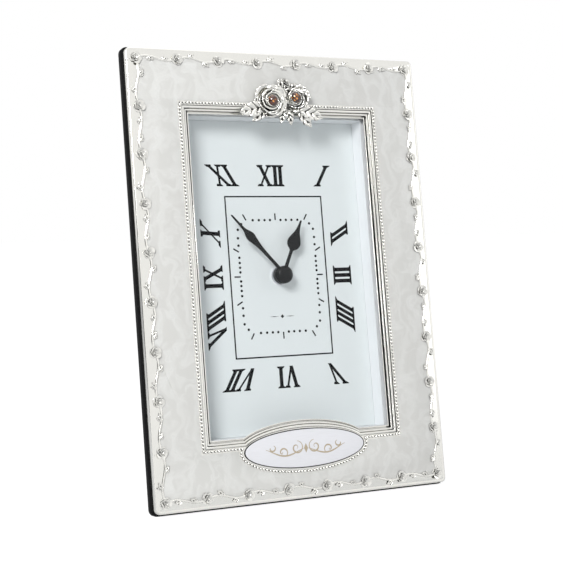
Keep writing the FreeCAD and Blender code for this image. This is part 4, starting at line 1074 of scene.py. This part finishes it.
class FRAMECLOCK_OT_spray(ClockStep):
    """Make the spray's two roses, its leaves and bud, and the cups of the stones"""

    bl_idname = "frameclock.spray"
    bl_label = "Rose spray"

    def execute(self, context):
        parts, leaves, cups = [], [], []
        for rings, x, z, diameter, height, tilt, heading, turn in BLOOMS:
            rose = make_rose("bloom", diameter, height, rings, columns=10, rows=6, thickness=0.24, level=1)
            lean = Matrix.Rotation(radians(heading), 4, "Z") @ Matrix.Rotation(radians(tilt), 4, "Y")
            rose.data.transform(lean @ Matrix.Rotation(turn, 4, "Z"))
            rose.data.transform(on_front(x, SPRAY_BACK + 0.2, z))
            parts.append(rose)
        for x, z in STONES:
            cup = disc("cup", (x, SPRAY_BACK - CUP_DEPTH / 2, z), CUP_RADIUS, CUP_DEPTH, 32)
            pick(cup, "faces", lambda p: p.normal.y < -0.9)
            bpy.ops.mesh.inset(thickness=CUP_RIM)
            bpy.ops.mesh.inset(thickness=CUP_SLOPE, depth=-CUP_SINK)
            cups.append(chamfer(done(cup)))
        for index, (x, z, size, width, heading, ribs) in enumerate(SPRAY_LEAVES):
            shape = leaf_shape(size, width, lift=1.7, ribs=ribs, rib_height=1.0, notch=0.14)
            leaf = petal("leaf", shape, columns=44, rows=18, thickness=0.3)
            y = SPRAY_BACK - 0.35 - 0.12 * (index % 3)
            leaf.data.transform(on_front(x, y, z, radians(heading)))
            leaves.append(leaf)
        stem = wire("stem", [SPRAY_STEM], radius=0.9)
        stem.data.transform(Matrix.Translation((0, SPRAY_BACK - 0.5, 0)))
        parts.append(stem)
        for name, made, kind, hides in (
            ("rose_spray_cast", parts, "silver_spray", ["rose_spray"]),
            ("spray_leaves", leaves, "silver_leaf", []),
            ("stone_cups", cups, "silver_plate", []),
        ):
            piece = join(name, made)
            for vertex in piece.data.vertices:
                vertex.co.y = min(vertex.co.y, SPRAY_BACK + 0.02)
            place(tidy(piece), name, kind, hides, angle=50)
        return {"FINISHED"}


STONE_RADIUS, STONE_DEPTH, STONE_MIDDLE = 2.4, 0.5, -5.55
# The steps of a stone's crown as (share of the size left, rise).
CROWN = ((0.84, 0.65), (0.72, 0.5))
FACET_TURN = radians(15)


class FRAMECLOCK_OT_stones(ClockStep):
    """Make the two faceted stones"""

    bl_idname = "frameclock.stones"
    bl_label = "Amber stones"

    def execute(self, context):
        stones = []
        for x, z in STONES:
            stone = disc("stone", (x, STONE_MIDDLE, z), STONE_RADIUS, STONE_DEPTH, 12)
            for share, rise in CROWN:
                pick(stone, "faces", lambda p: p.normal.y < -0.9 and p.calc_center_median().y < -5.7)
                bpy.ops.mesh.extrude_region_move(TRANSFORM_OT_translate={"value": (0, -rise, 0)})
                bpy.ops.transform.resize(value=(share, 1, share), center_override=(x, 0, z))
                bpy.ops.transform.rotate(value=FACET_TURN, orient_axis="Y", center_override=(x, 0, z))
            pick(stone, "faces", lambda p: abs(p.normal.y) < 0.9)
            bpy.ops.mesh.quads_convert_to_tris()
            stones.append(done(stone))
        both = tidy(join("stones", stones))
        place(both, "amber_stones_cut", "amber_crystal", ["amber_stones"], angle=5)
        return {"FINISHED"}


# ---- dial ----
STROKE_GAP, LETTER_GAP = 2.65, 5.35  # between two equal letters, and between two others
LETTER_REACH = 2.35  # from the middle of a V or an X to the middle of its stroke's end
SERIF = 0.075  # as a share of the numeral's height
# Each hour's numeral as (text, moved aside, moved up).
NUMERALS = {
    1: ("I", -0.7, 0),
    2: ("II", 0, 0),
    3: ("III", 0, -0.6),
    4: ("IIII", 0, 0),
    5: ("V", -1.3, 0),
    6: ("VI", 0.9, 0),
    7: ("VII", 4.0, 0),
    8: ("VIII", 0, -2.4),
    9: ("IX", 0, 0),
    10: ("X", 0, 0.9),
    11: ("XI", 1.5, 0),
    12: ("XII", -0.7, 0),
}


def stroke(top, foot, half):
    """A straight stroke of a numeral from its top to its foot."""
    return [(top - half, 1), (foot - half, 0), (foot + half, 0), (top + half, 1)]


def numeral_strokes(d, text):
    """Strokes of a numeral as outlines in (across, share of the height)."""
    thick, thin = d.thick_stroke / 2, d.thin_stroke / 2
    strokes, middle, before = [], 0.0, ""
    for letter in text:
        if before:
            middle += STROKE_GAP if letter == before else LETTER_GAP
        before = letter
        left, right = middle - LETTER_REACH, middle + LETTER_REACH
        if letter == "I":
            strokes.append(stroke(middle, middle, thick))
            ends = [(middle, 1.9, 0), (middle, 1.9, 1)]
        elif letter == "V":
            strokes += [stroke(left, middle, thick), stroke(right, middle, thin)]
            ends = [(left, 1.7, 1), (right, 1.4, 1)]
        else:
            strokes += [stroke(left, right, thick), stroke(right, left, thin)]
            ends = [(side, 1.55, level) for side in (left, right) for level in (0, 1)]
        for x, half, level in ends:
            inward = -SERIF if level else SERIF
            right_side = [(half, 0), (half, inward * 0.55), (thick, inward * 1.5)]
            left_side = [(-across, up) for across, up in reversed(right_side)]
            strokes.append([(x + across, level + up) for across, up in right_side + left_side])
    points = [x for line in strokes for x, share in line]
    centre = (min(points) + max(points)) / 2
    return [[(x - centre, share) for x, share in line] for line in strokes]


def numeral_place(d, hour, across, share):
    """Where a point of a numeral lies on the dial."""
    angle = radians(30 * hour)
    sine, cosine = sin(angle), cos(angle)
    if hour in (11, 12, 1, 5, 6, 7):
        side = 1 if cosine > 0 else -1
        out = d.numeral_foot + share * d.numeral_height
        return out * sine / abs(cosine) + side * across, d.hands_height + side * out
    side = 1 if sine > 0 else -1
    out = d.side_foot + share * (d.numeral_height - 0.4)
    return side * out, d.hands_height + out * cosine / abs(sine) - side * across


# The minute track: a rectangle with cut corners, with dots and with bars at the hours.
TRACK_HALF_WIDTH, TRACK_HALF_HEIGHT, TRACK_CORNER = 19.5, 25.7, 34.9
DOT, BAR_HALF, BAR_LENGTH = 1.2, 0.32, 3.1
# The thin rectangle's outer line as (half width, low, high), and its line width.
RECTANGLE, LINE_WIDTH = (24.92, 63.18, 137.07), 0.65
ORNAMENT_DROP = 18.6


def minute_mark(d, minute):
    """A minute's dot or an hour's bar on the track."""
    angle = radians(6 * minute)
    sine, cosine = sin(angle), cos(angle)
    reach = min(
        TRACK_HALF_WIDTH / max(abs(sine), 1e-6),
        TRACK_HALF_HEIGHT / max(abs(cosine), 1e-6),
        TRACK_CORNER / (abs(sine) + 0.73 * abs(cosine)),
    )
    x, z = reach * sine, d.hands_height + reach * cosine
    if minute % 5:
        return [(x + u, z + w) for u, w in arc(DOT, DOT, 0, 0, 330, 11)]
    corners = [(-BAR_HALF, 0), (BAR_HALF, 0), (BAR_HALF, BAR_LENGTH), (-BAR_HALF, BAR_LENGTH)]
    return [(x + s * cosine + t * sine, z - s * sine + t * cosine) for s, t in corners]


def print_on(name, shapes, d, depth=0.03):
    """Print shapes on the dial. Each shape is a list of outlines."""
    parts = [slab(name, outlines, depth, y=d.dial_depth - depth / 2) for outlines in shapes]
    place(tidy(join(name, parts), 0.0001), name, "dial_ink")


class FRAMECLOCK_OT_dial(ClockStep):
    """Print the dial: numerals, minute track and thin rectangle"""

    bl_idname = "frameclock.dial"
    bl_label = "Dial print"

    def execute(self, context):
        d = in_mm(context.scene.clock_dial)
        shapes = []
        for hour, (text, aside, up) in NUMERALS.items():
            for line in numeral_strokes(d, text):
                spots = [numeral_place(d, hour, x, share) for x, share in line]
                shapes.append([[(x + aside, z + up) for x, z in spots]])
        print_on("dial_numerals", shapes, d)
        print_on("dial_minute_track", [[minute_mark(d, minute)] for minute in range(60)], d)

        lines = []
        for inset in (0, LINE_WIDTH):
            half, low, high = RECTANGLE[0] - inset, RECTANGLE[1] + inset, RECTANGLE[2] - inset
            lines.append([(-half, low), (half, low), (half, high), (-half, high)])
        print_on("dial_rectangle", [lines], d)

        z = d.hands_height - ORNAMENT_DROP
        dashes = [
            [[(side * 1.6, z), (side * 4.2, z - 0.16), (side * 6.4, z), (side * 4.2, z + 0.16)]]
            for side in (-1, 1)
        ]
        print_on("dial_ornament", dashes + [[diamond(z, 0.9, 0.9)]], d)
        return {"FINISHED"}


# ---- hands ----
def soft_outline(stops, length, steps=6):
    """A hand's smooth half outline through (share of the length, half width) stops."""
    points = []
    ends = [stops[0]] + stops + [stops[-1]]
    for index in range(1, len(ends) - 2):
        for step in range(steps):
            t = step / steps
            blend = []
            for a, b, c, e in zip(*ends[index - 1 : index + 3]):
                bend = (2 * a - 5 * b + 4 * c - e) * t**2 + (3 * b - a - 3 * c + e) * t**3
                blend.append(0.5 * (2 * b + (c - a) * t + bend))
            points.append((max(0.0, blend[1]), blend[0] * length))
    points.append((0.0, stops[-1][0] * length))
    return points


# Half widths of the hands in mm along their length, from the centre (0) to the tip (1).
MINUTE_STOPS = [(0.0, 0.75), (0.3, 0.75), (0.45, 0.95), (0.56, 1.6), (0.635, 2.1)]
MINUTE_STOPS += [(0.69, 1.6), (0.75, 0.75), (0.85, 0.5), (1.0, 0.35)]
HOUR_STOPS = [(0.0, 0.9), (0.2, 0.8), (0.42, 0.78), (0.465, 1.4), (0.5, 2.5), (0.56, 3.25)]
HOUR_STOPS += [(0.62, 3.2), (0.70, 2.3), (0.78, 1.3), (0.87, 0.7), (1.0, 0.35)]
BLADE_DEPTH = 0.4
# Each hand as (name, stops, front's y, hub's radius, degrees, collet's radius and back).
HANDS = (
    ("minute_hand", MINUTE_STOPS, 7.0, 4.0, 318, 2.3, 8.0),
    ("hour_hand", HOUR_STOPS, 8.3, 4.05, 24, 3.1, 10.0),
)
CAP_RADIUS, CAP_FRONT = 3.8, 6.9


class FRAMECLOCK_OT_hands(ClockStep):
    """Make the two leaf hands and the domed cap"""

    bl_idname = "frameclock.hands"
    bl_label = "Hands"

    def execute(self, context):
        d = in_mm(context.scene.clock_dial)
        for name, stops, y, hub, heading, collet, collet_back in HANDS:
            half = soft_outline(stops, getattr(d, name))
            loop = half + [(-x, z) for x, z in reversed(half[:-1])]
            parts = [tidy(slab(name, [loop], BLADE_DEPTH, y=y + BLADE_DEPTH / 2), 0.0001)]
            for radius, back in ((hub, y + BLADE_DEPTH), (collet, collet_back)):
                parts.append(chamfer(disc(name, (0, (y + back) / 2, 0), radius, back - y, 48)))
            whole = join(name, parts)
            turn = Matrix.Rotation(radians(heading), 4, "Y")
            whole.data.transform(Matrix.Translation((0, 0, d.hands_height)) @ turn)
            place(whole, name + "_blade", "black_enamel", [name], body=name)
        centre = (0, CAP_FRONT, d.hands_height)
        cap = dome("cap", centre, CAP_RADIUS, 40, 20, 0.38, edge=CAP_FRONT + 0.05, foot=0.1)
        place(cap, "hand_cap_dome", "black_enamel", ["hand_cap"], body="minute_hand")
        return {"FINISHED"}


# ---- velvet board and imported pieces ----
BOARD_DEPTH, BOARD_MIDDLE, BOARD_CORNER, BOARD_SOFT = 3.4, 5.2, 3.0, 0.55
HOLE_WIDTH, HOLE_HEIGHT, HOLE_CENTRE = 99.6, 153.8, 100.2
GROUND_GAP = 0.0003  # keeps rounded places from falling below the ground


class FRAMECLOCK_OT_velvet(ClockStep):
    """Make the velvet board with soft edges, open behind the dial"""

    bl_idname = "frameclock.velvet"
    bl_label = "Velvet board"

    def execute(self, context):
        f = frame_sizes()
        size = (f.plate_width + 2 * f.board_over, BOARD_DEPTH, f.plate_height + 2 * f.board_over)
        board = box("board", (0, BOARD_MIDDLE, f.plate_height / 2), size)
        pick(board, "edges", runs_back)
        bpy.ops.mesh.bevel(offset=BOARD_CORNER, segments=8, affect="EDGES")
        pick(board, "edges", lambda e: e.calc_face_angle(0) > 1)
        bpy.ops.mesh.bevel(offset=BOARD_SOFT, segments=3, affect="EDGES")
        done(board)
        hole = box("hole", (0, BOARD_MIDDLE, HOLE_CENTRE), (HOLE_WIDTH, 20, HOLE_HEIGHT))
        board = cut(board, hole)
        for vertex in board.data.vertices:
            ground = (sin(LEAN) * vertex.co.y - GROUND_SHIFT) / cos(LEAN)
            vertex.co.z = max(vertex.co.z, ground + GROUND_GAP)
        place(tidy(board), "velvet_board", "black_velvet", ["backing_board"])
        return {"FINISHED"}


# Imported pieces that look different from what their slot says.
OTHER_FINISHES = {"bushing_nut": "motor_steel", "dial_washer": "white_plastic"}


class FRAMECLOCK_OT_packed(ClockStep):
    """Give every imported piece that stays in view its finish"""

    bl_idname = "frameclock.packed"
    bl_label = "Packed pieces"

    def execute(self, context):
        for piece in frame["record"]["subparts"]:
            name = piece["node"]
            if name not in REPLACED:
                dress(frame["nodes"][name], OTHER_FINISHES.get(name, piece["material_slot"]), 30)
        return {"FINISHED"}


# ---- stage ----
# Each lamp as (name, place, size, watts), aimed at the clock's middle.
LAMPS = (
    ("key", (-0.84, -0.78, 0.78), 0.45, 13.2),
    ("fill", (1.05, -0.45, 0.45), 0.7, 1.2),
    ("top", (0.1, 0.1, 1.2), 0.9, 1.5),
)
LAMP_TARGET = Vector((0, 0.01, 0.1))
# The camera fitted to the photograph: directions, then its aim and offsets in millimetres.
CAMERA_RIGHT = Vector((0.8910, -0.4540, 0))
CAMERA_FORWARD = Vector((0.4530, 0.8890, -0.0668)).normalized()
CAMERA_AIM = Vector((0, 11.20, 100.18))
ASIDE, LOWER, DISTANCE = 4.8, 3.8, 596.5


class FRAMECLOCK_OT_stage(ClockStep):
    """Set the pale floor, the soft lamps, the world and the camera"""

    bl_idname = "frameclock.stage"
    bl_label = "Stage"

    def floor(self):
        """A pale floor that the camera sees as white, with the clock's shadow on it."""
        floor = fresh(bpy.ops.mesh.primitive_plane_add, "floor", size=6, location=(0, 0, -0.0002))
        r = Recipe("pale_floor")
        camera_ray = r.node("LightPath", output="Is Camera Ray")
        grain = r.noise(r.node("TexCoord", output="Object"), 3.0)
        shade = r.mix(grain, (0.86, 0.86, 0.86), (0.88, 0.88, 0.88))
        plain = r.node("BsdfDiffuse", r.mix(camera_ray, shade, (0.36, 0.36, 0.36)))
        bright = r.node("Emission", r.mix(camera_ray, (0, 0, 0), (0.87, 0.87, 0.87)), 1.0)
        r.node("OutputMaterial", r.node("AddShader", plain, bright))
        floor.data.materials.append(r.material)

    def world(self, scene):
        """White for the camera, grey light, and dark screens on both sides for the silver."""
        scene.world = bpy.data.worlds.new("studio")
        scene.world.use_nodes = True
        w = Recipe("studio", scene.world.node_tree)
        x, y, z = w.split(w.node("TexCoord", output="Generated"))
        turn = w.node("Math", x, y * -1.0, operation="ARCTAN2")
        left = turn.above(-2.2, -1.8) * (1 - turn.above(-0.95, -0.65))
        right = turn.above(1.25, 1.6) * (1 - turn.above(2.1, 2.5))
        low = 1 - z.above(0.55, 0.85)
        mirrored = w.mix((left + right) * low, (0.96, 0.96, 0.955), (0.05, 0.05, 0.052))
        glossy_ray = w.node("LightPath", output="Is Glossy Ray")
        shown = w.mix(glossy_ray, (0.36, 0.37, 0.38), mirrored)
        white = w.mix(w.node("LightPath", output="Is Camera Ray"), shown, (1.0, 1.0, 1.0))
        w.node("OutputWorld", w.node("Background", white, 1.0))

    def lamps(self, scene):
        for name, spot, size, watts in LAMPS:
            light = bpy.data.lights.new(name, "AREA")
            light.shape = "RECTANGLE"
            light.size = light.size_y = size
            light.energy = watts
            obj = bpy.data.objects.new(name, light)
            obj.location = spot
            obj.rotation_euler = (LAMP_TARGET - Vector(spot)).to_track_quat("-Z", "Y").to_euler()
            scene.collection.objects.link(obj)

    def camera(self, scene):
        camera = bpy.data.cameras.new("camera")
        camera.sensor_width = 36
        camera.lens = 85.1
        camera.clip_start = 0.01
        obj = bpy.data.objects.new("camera", camera)
        up = CAMERA_RIGHT.cross(CAMERA_FORWARD).normalized()
        right = CAMERA_FORWARD.cross(up).normalized()
        obj.location = (CAMERA_AIM - ASIDE * right - LOWER * up - DISTANCE * CAMERA_FORWARD) / 1000
        obj.rotation_euler = Matrix((right, up, -CAMERA_FORWARD)).transposed().to_euler()
        scene.collection.objects.link(obj)
        bpy.context.scene.camera = obj

    def execute(self, context):
        context.scene.view_settings.view_transform = "Standard"
        self.floor()
        self.world(context.scene)
        self.lamps(context.scene)
        self.camera(context.scene)
        return {"FINISHED"}


# ---- add-on ----
GROUPS = (
    ("clock_frame", FrameSizes),
    ("clock_border", BorderSizes),
    ("clock_dial", DialSizes),
    ("clock_colours", FinishColours),
)
STEPS = (
    FRAMECLOCK_OT_shell,
    FRAMECLOCK_OT_moulding,
    FRAMECLOCK_OT_beads,
    FRAMECLOCK_OT_inlay,
    FRAMECLOCK_OT_border,
    FRAMECLOCK_OT_plaque,
    FRAMECLOCK_OT_spray,
    FRAMECLOCK_OT_stones,
    FRAMECLOCK_OT_dial,
    FRAMECLOCK_OT_hands,
    FRAMECLOCK_OT_velvet,
    FRAMECLOCK_OT_packed,
    FRAMECLOCK_OT_stage,
)


class FRAMECLOCK_PT_panel(bpy.types.Panel):
    """Sizes, colours and steps of the frame clock"""

    bl_label = "Frame Clock"
    bl_space_type = "VIEW_3D"
    bl_region_type = "UI"
    bl_category = "Frame Clock"

    def draw(self, context):
        for name, group in GROUPS:
            area = self.layout.box()
            values = getattr(context.scene, name)
            for key in group.__annotations__:
                area.prop(values, key)
        for step in STEPS:
            self.layout.operator(step.bl_idname)


def register():
    for name, group in GROUPS:
        bpy.utils.register_class(group)
        setattr(bpy.types.Scene, name, bpy.props.PointerProperty(type=group))
    for step in STEPS:
        bpy.utils.register_class(step)
    bpy.utils.register_class(FRAMECLOCK_PT_panel)


def unregister():
    bpy.utils.unregister_class(FRAMECLOCK_PT_panel)
    for step in reversed(STEPS):
        bpy.utils.unregister_class(step)
    for name, group in reversed(GROUPS):
        delattr(bpy.types.Scene, name)
        bpy.utils.unregister_class(group)


def main():
    register()
    for step in STEPS:
        getattr(bpy.ops.frameclock, step.bl_idname.split(".")[1])()


if __name__ == "__main__":
    main()
